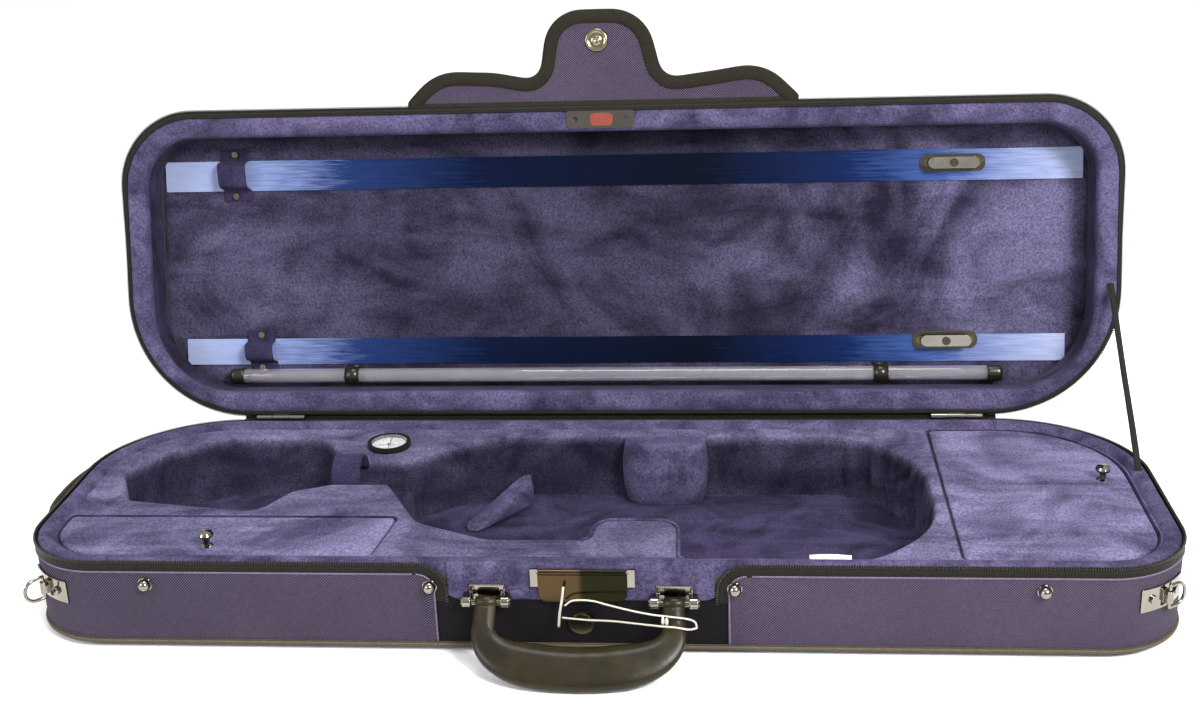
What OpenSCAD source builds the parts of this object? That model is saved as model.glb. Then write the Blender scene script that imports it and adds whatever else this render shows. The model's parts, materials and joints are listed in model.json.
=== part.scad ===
// Oblong violin case standing open: a padded base tub with a shaped instrument bed, and a hinged lid
// with bow holders, a string tube, a closing flap and a flat music pocket.
// Millimetres. +X runs along the case, -Y is the handle side, +Z is up, z = 0 is the table.
// Lid pieces are written in the closed position and turned open about the hinge.

/* [Overall size] */
// Length of the case
case_l = 800; // [796:1:806]
// Width of the case from handle side to hinge side
case_w = 246; // [244:1:250]
// Height of the base rim above the table
rim_z = 69; // [67:1:74]
// Depth of the lid behind its rim
lid_depth = 50; // [48:1:56]
// Thickness of the flat music pocket on the lid
pocket_t = 11; // [6:1:16]
// Plan radius of the corners on the handle side
front_r = 58; // [54:1:62]
// Plan radius of the corners on the hinge side
back_r = 98; // [90:1:104]
// Angle of the open lid from closed
lid_open = 104; // [92:1:108]

/* [Walls and padding] */
// Thickness of the outer fabric cover
cover_t = 1.5; // [1:0.1:2]
// Thickness of the rigid shell
shell_t = 5; // [4:0.5:6]
// Height of the domed feet
foot_h = 4; // [3:0.5:6]
// Thickness of the padded floor
floor_t = 5; // [4:0.5:8]
// Inset of the inner edge of the base rim pad
pad_inset = 13.5; // [12:0.5:15]
// Drop of the bed's top face below the rim
deck_drop = 4; // [3:0.5:5]
// Depth of the zipper band on each half
band_h = 9; // [7:0.5:10]

/* [Compartments] */
// Thickness of a compartment lid
lid_board_t = 4; // [3:0.5:5]
// Clear gap around a compartment lid
board_gap = 0.5; // [0.4:0.1:1]

/* [Handle] */
// Distance of the handle's pins in front of the front face
pin_out = 8; // [7:0.5:10]
// Height of the handle's pins above the table
pin_z = 44; // [43.6:0.2:46]
// Angle of the resting handle from straight down
handle_tilt = 46; // [46:0.5:50]

/* [Hidden] */
$fn = 48;

half_l = case_l / 2;
half_w = case_w / 2;
front_y = -half_w;
deck_z = rim_z - deck_drop;
cover_top = rim_z - band_h;
shell_floor = foot_h + cover_t;
floor_z = shell_floor + shell_t - 1;
bed_z = floor_z + floor_t;
board_z = deck_z - lid_board_t;
band_t = 1.3;
pin_y = front_y - pin_out;

// Hinge of the lid, just outside the hinge side
hinge_y = half_w + 2.6;
hinge_x = 275;
hinge_l = 40;
barrel_r = 2.4;
hinge_pin_r = 1.2;

// Front opening of the zipper, between its two curved ends
gap_left = -93;
gap_right = 85;

// The origin is under the middle of the open case's box
place_x = 5.6;
place_y = -33.5;

// ---- plan outlines -------------------------------------------------------------------------

function unit(v) = v / norm(v);

// Arc that rounds corner b, given as [x, y, radius], between its neighbours a and c
function fillet(a, b, c, n) =
    let (
        p = [b.x, b.y],
        u = unit([a.x, a.y] - p),
        w = unit([c.x, c.y] - p),
        half = acos(u * w) / 2,
        centre = p + unit(u + w) * b.z / sin(half),
        start = p + u * b.z / tan(half) - centre,
        end = p + w * b.z / tan(half) - centre,
        from = atan2(start.y, start.x),
        turn = (atan2(end.y, end.x) - from + 540) % 360 - 180
    )
    b.z == 0 ? [p] : [for (i = [0:n]) centre + b.z * [cos(from + turn * i / n), sin(from + turn * i / n)]];

// Closed outline through corners given as [x, y, radius]
function rounded(corners, n = 6) =
    let (last = len(corners))
    [for (i = [0:last - 1]) each fillet(corners[(i + last - 1) % last], corners[i], corners[(i + 1) % last], n)];

// Outline of the case, moved inward by k
function outline(k) = rounded([
    [-half_l + k, -half_w + k, front_r - k], [half_l - k, -half_w + k, front_r - k],
    [half_l - k, half_w - k, back_r - k], [-half_l + k, half_w - k, back_r - k]
], 12);

body_bed = rounded([
    [-160, 4, 12], [-127, -54, 26], [-72, -80, 30], [-1, -80, 6], [2, -50, 14], [59, -50, 15],
    [61, -107, 4], [188, -111, 60], [240, -58, 90], [240, 44, 90], [196, 97, 60], [-92, 97, 80],
    [-160, 47, 10]
], 8);
scroll_pocket = rounded([
    [-373, 28, 8], [-352, -20, 8], [-250, -38, 16], [-232, -4, 14], [-206, 4, 5], [-206, 58, 10],
    [-232, 94, 20], [-310, 93, 20], [-350, 66, 8]
]);
left_board = rounded([[-384, -48, 4], [-385, -107, 42], [-150, -107, 5], [-142, -48, 4]]);
left_hold = rounded([[-368, -56, 8], [-368, -98, 34], [-162, -98, 8], [-162, -56, 8]]);
right_board = rounded([[250, -107, 4], [384, -107, 42], [384, 107, 82], [250, 107, 4]]);
right_hold = rounded([[264, -94, 8], [372, -94, 34], [372, 92, 74], [264, 92, 8]]);

left_hinge_y = -48;
right_hinge_x = 250;
hygrometer_at = [-174, 77];

// ---- shared shapes ---------------------------------------------------------------------------

module base_place() translate([place_x, place_y, 0]) children();

module lid_place() base_place()
    translate([0, hinge_y, rim_z]) rotate([-lid_open, 0, 0]) translate([0, -hinge_y, -rim_z]) children();

module plate(points, z0, z1) translate([0, 0, z0]) linear_extrude(z1 - z0) polygon(points);

module slab(k, z0, z1) plate(outline(k), z0, z1);

module ring(k0, k1, z0, z1) difference() {
    slab(k0, z0, z1);
    slab(k1, z0 - 1, z1 + 1);
}

module block(x0, y0, z0, x1, y1, z1) translate([x0, y0, z0]) cube([x1 - x0, y1 - y0, z1 - z0]);

// Cylinder along X between two x values
module rod_x(x0, x1, y, z, r) translate([x0, y, z]) rotate([0, 90, 0]) cylinder(h = x1 - x0, r = r);

// Cylinder that stands out of the front face
module boss(x, z, r, y0, y1) translate([x, y0, z]) rotate([90, 0, 0]) cylinder(h = y0 - y1, r = r);

// Height above the rim plane of the closed lid
function lid_z(depth) = rim_z + depth;

// Closed-lid y of a place that is v up the open lid from its hinge edge
function lid_y(v) = half_w - v;

// Part of a band that the zipper runs along: both ends and the front, up to its two front ends
module zipper_run(z0, z1) difference() {
    children();
    block(gap_left, front_y - 5, z0, gap_right, front_y + 5, z1);
    block(back_r - half_l, half_w - 5, z0, half_l - back_r, half_w + 5, z1);
}

// ---- base: cover, shell and bands -------------------------------------------------------------

module base_cover() color("#2b2942") base_place() {
    difference() {
        union() {
            slab(0, foot_h, foot_h + cover_t);
            ring(0, cover_t, foot_h, cover_top);
        }
        block(gap_left, front_y - 1, rim_z - 27, gap_right, front_y + 1.6, rim_z);
    }
}

module base_shell() color("#3a3836") base_place() {
    slab(cover_t, shell_floor, floor_z);
    ring(cover_t, cover_t + shell_t, shell_floor, cover_top);
}

module base_piping() color("#4a473c") base_place() ring(-1.8, 0, foot_h + 0.5, foot_h + 4);

// Suede turned over the front edge between the zipper ends
module front_apron() color("#3d3a72") base_place()
    block(gap_left, front_y, rim_z - 27, gap_right, front_y + cover_t, rim_z - 0.6);

module base_zipper_tape() color("#2a2922") base_place()
    zipper_run(cover_top - 1, rim_z) ring(0, band_t, cover_top, rim_z - 2);

module base_zipper_teeth() color("#191917") base_place()
    zipper_run(cover_top - 1, rim_z) ring(-0.5, band_t, rim_z - 2, rim_z - 0.5);

module base_rim_pad() color("#47447f") base_place() ring(cover_t, pad_inset, cover_top, rim_z);

module floor_pad() color("#35326a") base_place() slab(cover_t + shell_t, floor_z, bed_z);

// ---- base: foam bed ----------------------------------------------------------------------------

module bed_body() difference() {
    union() {
        slab(cover_t + shell_t, bed_z, cover_top);
        slab(pad_inset, cover_top, deck_z);
    }
    plate(body_bed, bed_z - 1, deck_z + 1);
    plate(scroll_pocket, bed_z - 1, deck_z + 1);
    plate(left_hold, bed_z - 1, deck_z + 1);
    plate(right_hold, bed_z - 1, deck_z + 1);
    plate(left_board, board_z, deck_z + 1);
    plate(right_board, board_z, deck_z + 1);
    block(-212, channel_y[0], channel_z, -150, channel_y[1], deck_z + 1);
    translate([hygrometer_at.x, hygrometer_at.y, deck_z - 8]) cylinder(h = 10, r = 15);
}

module bed_zone(x0, y0, x1, y1) color("#3f3c78") base_place() intersection() {
    bed_body();
    block(x0, y0, 0, x1, y1, rim_z);
}

module foam_left() bed_zone(-half_l, -half_w, -150, half_w);
module foam_front() bed_zone(-150, -half_w, 252, 0);
module foam_back() bed_zone(-150, 0, 252, half_w);
module foam_right() bed_zone(252, -half_w, half_l, half_w);

module bout_cushion() color("#4a4794") base_place()
    plate(rounded([[10, 96.7, 4], [12, 70, 13], [76, 70, 13], [78, 96.7, 4]]), bed_z + 0.2, deck_z - 1);

// Leaning bolster beside the upper bout
module wedge_pad() color("#4a4794") base_place()
    translate([-106, 28, bed_z + 0.2]) rotate([0, 0, 49]) rotate([90, 0, 0]) translate([0, 0, -7])
        linear_extrude(14) polygon([[0, 0], [66, 0], [66, 26], [58, 27]]);

// Suede band arched over the neck channel
channel_y = [8, 47];
channel_z = 40;
strap_t = 2.4;
strap_foot_z = channel_z + 10;
strap_mid = (channel_y[0] + channel_y[1]) / 2;
strap_half = (channel_y[1] - channel_y[0]) / 2 - 1;
strap_lean = 3;
function strap_arc(r, rise) = [for (a = [0:15:180]) [strap_mid - r * cos(a), deck_z - 3 + rise * sin(a)]];
module neck_strap() color("#3d3a72") base_place()
    translate([-205, 0, 0]) rotate([90, 0, 90]) linear_extrude(22) difference() {
        polygon(concat([[strap_mid - strap_half + strap_lean, strap_foot_z]], strap_arc(strap_half, 17),
            [[strap_mid + strap_half, strap_foot_z]]));
        polygon(concat([[strap_mid - strap_half + strap_lean + strap_t, strap_foot_z - 1]],
            strap_arc(strap_half - strap_t, 17 - strap_t), [[strap_mid + strap_half - strap_t, strap_foot_z - 1]]));
        translate([strap_mid, 0]) square([strap_half + 1, deck_z]);
    }

module size_tag() color("#f2f2ee") base_place()
    block(149, -108.2, 54, 177, -107.4, 61);

// ---- base: compartment lids ------------------------------------------------------------------

// Board that is one gap smaller than its recess
module board(points) translate([0, 0, board_z + 0.2]) linear_extrude(lid_board_t - 0.2)
    offset(delta = -board_gap) polygon(points);

module left_compartment_lid() color("#4a4786") base_place() board(left_board);

module right_compartment_lid() color("#4a4786") base_place() board(right_board);

module knob(x, y) translate([x, y, deck_z]) rotate_extrude()
    polygon([[0, 0], [4.5, 0], [4.5, 0.8], [2.6, 2], [2.2, 5], [3.4, 6.4], [5.2, 7.6], [5.6, 9.2], [4.6, 11], [0, 12]]);

module left_knob() color("#c9c6c0") base_place() knob(-268, -94);

module right_knob() color("#c9c6c0") base_place() knob(365, 16);

// ---- base: hygrometer --------------------------------------------------------------------------

module hygrometer_frame() base_place() translate([hygrometer_at.x, hygrometer_at.y, deck_z]) children();

module hygrometer_case() color("#22211f") hygrometer_frame() difference() {
    union() {
        translate([0, 0, -8]) cylinder(h = 8, r = 15);
        cylinder(h = 4, r = 17);
    }
    translate([0, 0, -5]) cylinder(h = 10, r = 14);
}

module hygrometer_dial() color("#eeeeea") hygrometer_frame() {
    translate([0, 0, -5]) cylinder(h = 5.6, r = 14);
    cylinder(h = 2, r = 0.5);
}

module hygrometer_pointer() color("#1a1a1a") hygrometer_frame() difference() {
    union() {
        translate([0, 0, 1]) cylinder(h = 0.6, r = 1.5);
        translate([-0.4, -3, 1]) cube([0.8, 14, 0.4]);
    }
    cylinder(h = 4, r = 0.55);
}

module hygrometer_lens() color("#dfe6ea") hygrometer_frame() translate([0, 0, 3]) cylinder(h = 0.8, r = 14);

// ---- base: latch, snap and studs ----------------------------------------------------------------

latch_x0 = -32;
latch_x1 = 28;
latch_pin_z = rim_z - 5;
latch_pin_y = front_y - 3.4;

module latch_housing() color("#b9b4a8") base_place() {
    block(latch_x0, front_y - 1, rim_z - 25, latch_x1, front_y, rim_z - 2);
    for (x = [latch_x0 - 5, latch_x1]) {
        block(x, front_y - 3.4, latch_pin_z - 11, x + 5, front_y, latch_pin_z + 2);
    }
    rod_x(latch_x0 - 1, latch_x1 + 1, latch_pin_y, latch_pin_z, 0.9);
}

// Plate that swings out and up about its top edge
module latch_plate() color("#9d8d6c") base_place() difference() {
    union() {
        translate([0, front_y - 3, 0]) rotate([90, 0, 0]) linear_extrude(1.2) polygon(rounded([
            [latch_x0 + 0.4, latch_pin_z, 1], [latch_x1 - 0.4, latch_pin_z, 1],
            [latch_x1 - 0.4, rim_z - 27, 6], [latch_x0 + 0.4, rim_z - 27, 6]
        ]));
        rod_x(latch_x0 + 0.4, latch_x1 - 0.4, latch_pin_y, latch_pin_z, 2);
    }
    rod_x(latch_x0 - 1, latch_x1 + 1, latch_pin_y, latch_pin_z, 0.95);
}

snap_x = -4;
snap_z = 25;
module base_snap() color("#a89a78") base_place() {
    boss(snap_x, snap_z, 9, front_y, front_y - 1.4);
    boss(snap_x, snap_z, 6.5, front_y, front_y - 3);
}

stud_x = [-304, -106, 99, 300];
module ball_studs() color("#c9c6c0") base_place() for (x = stud_x) {
    boss(x, rim_z - 18, 5, front_y, front_y - 1);
    intersection() {
        translate([x, front_y - 2.6, rim_z - 18]) sphere(r = 4.4);
        block(x - 5, front_y - 8, rim_z - 23, x + 5, front_y, rim_z - 13);
    }
}

// ---- base: handle --------------------------------------------------------------------------------

// Middle of each handle end, and half the length of its pin
end_x = [-67, 59];
post = 15;

module handle_brackets() color("#c9c6c0") base_place() for (x = end_x) difference() {
    union() {
        block(x - 12, front_y - 1.2, pin_z - 7, x + 12, front_y, pin_z + 9);
        for (side = [-1, 1]) {
            rod_x(x + side * 13 - 3, x + side * 13 + 3, pin_y, pin_z, 4);
            block(x + side * 13 - 3, pin_y, pin_z - 3.4, x + side * 13 + 3, front_y, pin_z + 3.4);
        }
    }
    rod_x(x - 20, x + 20, pin_y, pin_z, 1.6);
}

module handle_pins() color("#b2aea6") base_place() for (x = end_x) {
    rod_x(x - post, x + post, pin_y, pin_z, 1.6);
    for (side = [-1, 1]) rod_x(x + side * 16.4 - 0.4, x + side * 16.4 + 0.4, pin_y, pin_z, 2.6);
}

// Handle outline in its own plane: x along the case, y down from the pins
handle_outline = rounded([
    [-74, -5, 4], [-60, -5, 4], [-56, 35, 20], [48, 35, 20], [52, -5, 4], [66, -5, 4], [77, 57, 36], [-85, 57, 36]
]);

module handle_frame() base_place() translate([0, pin_y, pin_z]) rotate([-90 - handle_tilt, 0, 0]) children();

module handle_straps() color("#2f2c22") handle_frame() difference() {
    intersection() {
        translate([0, 0, -2.5]) linear_extrude(5) polygon(handle_outline);
        block(-100, -10, -10, 100, 20, 10);
    }
    rod_x(-100, 100, 0, 0, 1.66);
}

module handle_grip() color("#1e1c17") handle_frame() intersection() {
    translate([0, 0, -5.5]) linear_extrude(11) polygon(handle_outline);
    block(-100, 20, -10, 100, 80, 10);
}

// ---- base: ring plates, end strap and feet -------------------------------------------------------

plate_turn = 40;
plate_z = 42;
ring_out = 4.4;

// Frame on a front corner: x out of the face, y along it, z up; side is -1 left or 1 right
module corner_frame(side) base_place()
    translate([side * (half_l - front_r), -half_w + front_r, plate_z])
        rotate([0, 0, -90 + side * plate_turn]) children();

module ring_plates() color("#c9c6c0") for (side = [-1, 1]) corner_frame(side) difference() {
    union() {
        rotate([0, 0, -20]) translate([0, 0, -8.5]) rotate_extrude(angle = 40)
            translate([front_r, 0]) square([1.5, 17]);
        translate([front_r + ring_out, 0, -4.5]) cylinder(h = 9, r = 2.6);
        block(front_r, -2.6, -4.5, front_r + ring_out, 2.6, 4.5);
    }
    translate([front_r + ring_out, 0, -20]) cylinder(h = 40, r = 1.3);
}

screw_turn = 11;
module base_screws() color("#d5d2cc") for (side = [-1, 1]) corner_frame(side)
    for (turn = [-screw_turn, screw_turn]) rotate([0, 0, turn]) translate([front_r + 1.5, 0, 0])
        rotate([0, 90, 0]) cylinder(h = 1.6, r = 3);

// D-shaped ring whose straight bar stands along Z at the origin
bar_h = 8;
arm_l = 6;
wire_r = 1.2;
module dee() {
    translate([0, 0, -bar_h]) cylinder(h = 2 * bar_h, r = wire_r);
    for (z = [-bar_h, bar_h]) {
        translate([0, 0, z]) sphere(r = wire_r);
        translate([0, 0, z]) rotate([0, 90, 0]) cylinder(h = arm_l, r = wire_r);
    }
    translate([arm_l, 0, 0]) rotate([90, 0, 0]) rotate([0, 0, -90]) rotate_extrude(angle = 180)
        translate([bar_h, 0]) circle(r = wire_r);
}

// The left ring stands straight out, the right ring lies along its plate
module left_ring() color("#bfbbb2") corner_frame(-1) translate([front_r + ring_out, 0, 0]) dee();

module right_ring() color("#bfbbb2") corner_frame(1) translate([front_r + ring_out, 0, 0])
    rotate([0, 0, 84]) dee();

// Webbing carrying strap bowed along the left end
function thick_path(points, t) =
    let (
        last = len(points) - 1,
        side = [for (i = [0:last]) let (d = unit(points[min(i + 1, last)] - points[max(i - 1, 0)])) [-d.y, d.x] * t / 2]
    )
    concat([for (i = [0:last]) points[i] + side[i]], [for (i = [last:-1:0]) points[i] - side[i]]);

strap_run = [
    [-374, 93], [-388, 80], [-399, 64], [-407, 44], [-411, 22], [-412, 0], [-411, -20], [-407, -36], [-401.4, -50]
];
module end_strap() color("#2c2a20") base_place() {
    plate(thick_path(strap_run, 2), 42, 62);
    for (z = [31, 42]) difference() {
        plate(rounded([[-400, -24, 2], [-412, -24, 5], [-412, -56, 5], [-400, -56, 2]]), z - 8, z + 1);
        plate(rounded([[-399, -27, 1], [-410, -27, 3.5], [-410, -53, 3.5], [-399, -53, 1]]), z - 9, z + 2);
    }
}

foot_at = [[-258, -98], [258, -98], [258, 98], [-258, 98]];
module feet() color("#bdb9ae") base_place() for (at = foot_at) translate([at.x, at.y, 0])
    rotate_extrude() polygon([[0, 0], [3.4, 0], [5.4, 1.2], [6.2, 3], [6.4, foot_h], [0, foot_h]]);

// ---- hinges and stay strap ------------------------------------------------------------------------

module base_hinge_leaves() color("#b2aea6") base_place() for (x = [-hinge_x, hinge_x]) {
    difference() {
        union() {
            block(x - hinge_l / 2, half_w, rim_z - 18, x + hinge_l / 2, half_w + 1.2, rim_z - 3.2);
            for (side = [-1, 1]) {
                block(x + side * 13.6 - 6.4, half_w, rim_z - 4, x + side * 13.6 + 6.4, hinge_y, rim_z);
                rod_x(x + side * 13.6 - 6.4, x + side * 13.6 + 6.4, hinge_y, rim_z, barrel_r);
            }
        }
        rod_x(x - 30, x + 30, hinge_y, rim_z, hinge_pin_r);
    }
    rod_x(x - hinge_l / 2, x + hinge_l / 2, hinge_y, rim_z, hinge_pin_r);
}

module lid_hinge_leaves() color("#b2aea6") lid_place() for (x = [-hinge_x, hinge_x]) difference() {
    union() {
        block(x - hinge_l / 2, half_w, rim_z + 3.2, x + hinge_l / 2, half_w + 1.2, rim_z + 18);
        block(x - 6.8, half_w, rim_z, x + 6.8, hinge_y, rim_z + 4);
        rod_x(x - 6.8, x + 6.8, hinge_y, rim_z, barrel_r);
    }
    rod_x(x - 30, x + 30, hinge_y, rim_z, hinge_pin_r + 0.05);
}

// Flat ribbon that stops the lid, drawn taut from the base rim to the lid rim
stay_x = 392;
stay_base_y = 24;
stay_lid_v = 102;
stay_dy = hinge_y - lid_y(stay_lid_v);
stay_top_y = hinge_y - stay_dy * cos(lid_open);
stay_top_z = rim_z + stay_dy * sin(lid_open);
stay_len = norm([stay_top_y - stay_base_y, stay_top_z - rim_z]) - 2;
stay_turn = atan2(stay_top_z - rim_z, stay_top_y - stay_base_y);
module stay_strap() color("#1b1b1c") base_place()
    translate([stay_x, stay_base_y, rim_z + 0.6]) rotate([stay_turn, 0, 0])
        translate([-2.5, 0, -0.4]) cube([5, stay_len, 0.8]);

// Moulded tie: a short cross bar and two strands looped over the right end of the handle
tie_y = front_y - 9;
tie_upper = [
    [-14, tie_y, 42], [-8, tie_y, 46], [4, tie_y - 1, 46.5], [16, tie_y - 4, 45], [30, tie_y - 7, 43],
    [44, tie_y - 9.5, 41.5], [56, tie_y - 10.6, 40.6], [68, tie_y - 10.6, 39], [73, tie_y - 9.6, 36], [74, tie_y - 10, 32]
];
tie_lower = [
    [-16, tie_y, 33], [0, tie_y - 1, 32], [18, tie_y - 4, 33], [36, tie_y - 9, 34], [50, tie_y - 14, 35.4],
    [60, tie_y - 15, 35.2], [69, tie_y - 14.4, 33.4], [73, tie_y - 11.5, 32]
];

// Round tube swept along points
function ring_points(points, i, r, sides) =
    let (
        last = len(points) - 1,
        d = unit(points[min(i + 1, last)] - points[max(i - 1, 0)]),
        s = unit(cross(d, [0, 1, 0])),
        t = cross(d, s)
    )
    [for (k = [0:sides - 1]) points[i] + r * (cos(360 * k / sides) * s + sin(360 * k / sides) * t)];

module sweep(points, r, sides = 8) {
    last = len(points) - 1;
    polyhedron(
        points = [for (i = [0:last]) each ring_points(points, i, r, sides)],
        faces = concat(
            [[for (k = [0:sides - 1]) k]],
            [for (i = [0:last - 1], k = [0:sides - 1])
                [i * sides + k, (i + 1) * sides + k, (i + 1) * sides + (k + 1) % sides, i * sides + (k + 1) % sides]],
            [[for (k = [sides - 1:-1:0]) last * sides + k]]
        )
    );
}

module tag_tie() color("#e6e4dc") base_place() {
    translate([-16, tie_y, 26]) rotate([0, 8, 0]) cylinder(h = 30, r = 0.9);
    sweep(tie_upper, 0.7);
    sweep(tie_lower, 0.7);
}

// ---- lid: shell, cover and bands ------------------------------------------------------------------

module lid_cover() color("#2b2942") lid_place() {
    slab(0, lid_z(lid_depth - cover_t), lid_z(lid_depth));
    difference() {
        ring(0, cover_t, lid_z(0.8), lid_z(lid_depth - cover_t));
        zipper_run(lid_z(0), lid_z(band_h)) ring(-1, cover_t + 1, lid_z(0), lid_z(band_h));
    }
}

module lid_shell() color("#3a3836") lid_place() {
    slab(cover_t, lid_z(lid_depth - cover_t - shell_t), lid_z(lid_depth - cover_t));
    ring(cover_t, cover_t + shell_t, lid_z(band_h), lid_z(lid_depth - cover_t - shell_t));
}

module lid_zipper_tape() color("#2a2922") lid_place()
    zipper_run(lid_z(0), lid_z(band_h + 1)) ring(0, band_t, lid_z(2), lid_z(band_h));

module lid_zipper_teeth() color("#191917") lid_place()
    zipper_run(lid_z(0), lid_z(band_h)) ring(-0.5, band_t, lid_z(0.5), lid_z(2));

lid_inset = 18;
panel_d = lid_depth - 10;
lid_hollow = rounded([
    [-half_l + lid_inset, -half_w + lid_inset, front_r - lid_inset],
    [half_l - lid_inset, -half_w + lid_inset, front_r - lid_inset],
    [half_l - lid_inset, half_w - lid_inset, back_r - 32], [-half_l + lid_inset, half_w - lid_inset, back_r - 32]
], 12);
module lid_ring(k, z0, z1) difference() {
    slab(k, z0, z1);
    plate(lid_hollow, z0 - 1, z1 + 1);
}

module lid_rim_pad() color("#47447f") lid_place() difference() {
    lid_ring(cover_t, lid_z(0.6), lid_z(band_h));
    block(-34, front_y + 1, lid_z(0), 22, front_y + 17, lid_z(2.4));
}

// Deep padded wall and the padded panel behind the bows
module lid_padding() color("#3f3c78") lid_place() {
    lid_ring(cover_t + shell_t, lid_z(band_h), lid_z(panel_d));
    slab(cover_t + shell_t, lid_z(panel_d), lid_z(lid_depth - cover_t - shell_t));
}

// ---- lid: fittings -----------------------------------------------------------------------------------

ribbon_v = [[37, 59], [184, 209]];
module satin_ribbons() color("#3f49a6") lid_place() for (v = ribbon_v) intersection() {
    block(-half_l, lid_y(v[1]), lid_z(panel_d - 1), half_l, lid_y(v[0]), lid_z(panel_d - 0.2));
    translate([0, 0, lid_z(0)]) linear_extrude(lid_depth) offset(delta = -0.3) polygon(lid_hollow);
}

// Bridge of suede over one bow tip: [x0, x1, v0, v1]
tip_loops = [[-329, -305, 176, 218], [-312, -288, 31, 66]];
module bow_tip_loops() color("#3d3a72") lid_place() for (t = tip_loops)
    translate([t[0], lid_y(t[3]), lid_z(panel_d)]) rotate([90, 0, 90]) linear_extrude(t[1] - t[0])
        let (w = t[3] - t[2]) polygon([
            [0, -1.4], [0, -3], [7, -3], [11, -12], [15, -14.5], [w - 15, -14.5], [w - 11, -12], [w - 7, -3],
            [w, -3], [w, -1.4], [w - 9, -1.4], [w - 12.6, -10.4], [w - 16, -12.4], [16, -12.4], [12.6, -10.4],
            [9, -1.4]
        ]);

spinner_x = [270, 275];
spinner_v = [54.6, 198];
module lid_rivets() color("#d5d2cc") lid_place() {
    for (t = tip_loops) for (v = [t[2] + 3.6, t[3] - 3.6])
        translate([(t[0] + t[1]) / 2, lid_y(v), lid_z(panel_d - 4.2)]) cylinder(h = 1.2, r = 2.6);
    for (i = [0, 1]) for (side = [-1, 1])
        translate([spinner_x[i] + side * 20, lid_y(spinner_v[i]), lid_z(panel_d - 3.6)]) cylinder(h = 1.2, r = 3);
}

module spinner_plates() color("#c9c6c0") lid_place() for (i = [0, 1])
    translate([spinner_x[i], lid_y(spinner_v[i]), lid_z(panel_d)]) {
        translate([0, 0, -2.4]) linear_extrude(1.2)
            polygon(rounded([[-26, -7, 6], [26, -7, 6], [26, 7, 6], [-26, 7, 6]]));
        translate([0, 0, -13]) cylinder(h = 10.6, r = 2);
        translate([0, 0, -13.6]) cylinder(h = 0.8, r = 3.4);
    }

// Rounded bar that turns on its post to hold a bow's stick
module spinner(i) color("#bfbbb2") lid_place()
    translate([spinner_x[i], lid_y(spinner_v[i]), lid_z(panel_d - 12.6)]) difference() {
        linear_extrude(7) polygon(rounded([[-20, -4.5, 4.4], [20, -4.5, 4.4], [20, 4.5, 4.4], [-20, 4.5, 4.4]]));
        translate([0, 0, -1]) cylinder(h = 12, r = 2.06);
    }

module lower_spinner() spinner(0);
module upper_spinner() spinner(1);

tube_v = 28.2;
tube_d = panel_d - 9;
tube_r = 6;
tube_wall = 1.2;
tube_x0 = -324;
tube_x1 = 312;
module tube_frame() lid_place() translate([0, lid_y(tube_v), lid_z(tube_d)]) children();

// Clear tube, closed at its left end
module string_tube() color("#cfd8dc") tube_frame() difference() {
    rod_x(tube_x0, tube_x1, 0, 0, tube_r);
    rod_x(tube_x0 + 3, tube_x1 + 1, 0, 0, tube_r - tube_wall);
}

module tube_cap() color("#161616") tube_frame() difference() {
    rod_x(tube_x1 - 9, tube_x1 + 3, 0, 0, tube_r + 1.2);
    rod_x(tube_x1 - 10, tube_x1 + 1, 0, 0, tube_r + 0.06);
}

clip_x = [-221, 218];
module tube_clips() color("#18181a") tube_frame() for (x = clip_x) difference() {
    block(x - 6, -8, 0, x + 6, 8, panel_d - tube_d);
    rod_x(x - 7, x + 7, 0, 0, tube_r + 0.06);
}

module strike_plate() color("#c2beb4") lid_place() difference() {
    translate([0, 0, lid_z(1)]) linear_extrude(1.4)
        polygon(rounded([[-33, front_y + 2, 2], [21, front_y + 2, 2], [21, front_y + 16, 4], [-33, front_y + 16, 4]]));
    for (x = [-26, 14]) translate([x, front_y + 9, lid_z(0)]) cylinder(h = 4, r = 2);
}

// ---- lid: flap and pocket ----------------------------------------------------------------------------

flap_gap = 4;
flap_y = front_y - flap_gap;
flap_snap_v = 299;
flap_shape = rounded([
    [-164, flap_y, 3], [-134, flap_y - 25, 14], [-56, flap_y - 23, 14], [-40, flap_y - 73, 26], [24, flap_y - 73, 26],
    [42, flap_y - 21, 14], [124, flap_y - 26, 14], [154, flap_y, 3]
]);
module flap_panel() color("#2b2942") lid_place() {
    plate(flap_shape, lid_z(1), lid_z(3.6));
    translate([-8, lid_y(flap_snap_v), lid_z(-0.6)]) cylinder(h = 1.6, r = 9);
}

module music_pocket() color("#2b2942") lid_place()
    plate(rounded([
        [-half_l + 14, -half_w + 8, 50], [half_l - 14, -half_w + 8, 50], [half_l - 14, half_w - 12, 84],
        [-half_l + 14, half_w - 12, 84]
    ], 10), lid_z(lid_depth), lid_z(lid_depth + pocket_t));

base_cover();
base_shell();
base_piping();
front_apron();
base_zipper_tape();
base_zipper_teeth();
base_rim_pad();
floor_pad();
foam_left();
foam_front();
foam_back();
foam_right();
bout_cushion();
wedge_pad();
neck_strap();
size_tag();
left_compartment_lid();
left_knob();
right_compartment_lid();
right_knob();
hygrometer_case();
hygrometer_dial();
hygrometer_pointer();
hygrometer_lens();
latch_housing();
latch_plate();
base_snap();
ball_studs();
handle_brackets();
handle_pins();
handle_grip();
handle_straps();
ring_plates();
base_screws();
left_ring();
right_ring();
end_strap();
feet();
base_hinge_leaves();
stay_strap();
tag_tie();
lid_cover();
lid_shell();
lid_rim_pad();
lid_padding();
lid_hinge_leaves();
lid_zipper_tape();
lid_zipper_teeth();
satin_ribbons();
bow_tip_loops();
lid_rivets();
spinner_plates();
upper_spinner();
lower_spinner();
string_tube();
tube_cap();
tube_clips();
strike_plate();
flap_panel();
music_pocket();
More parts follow.
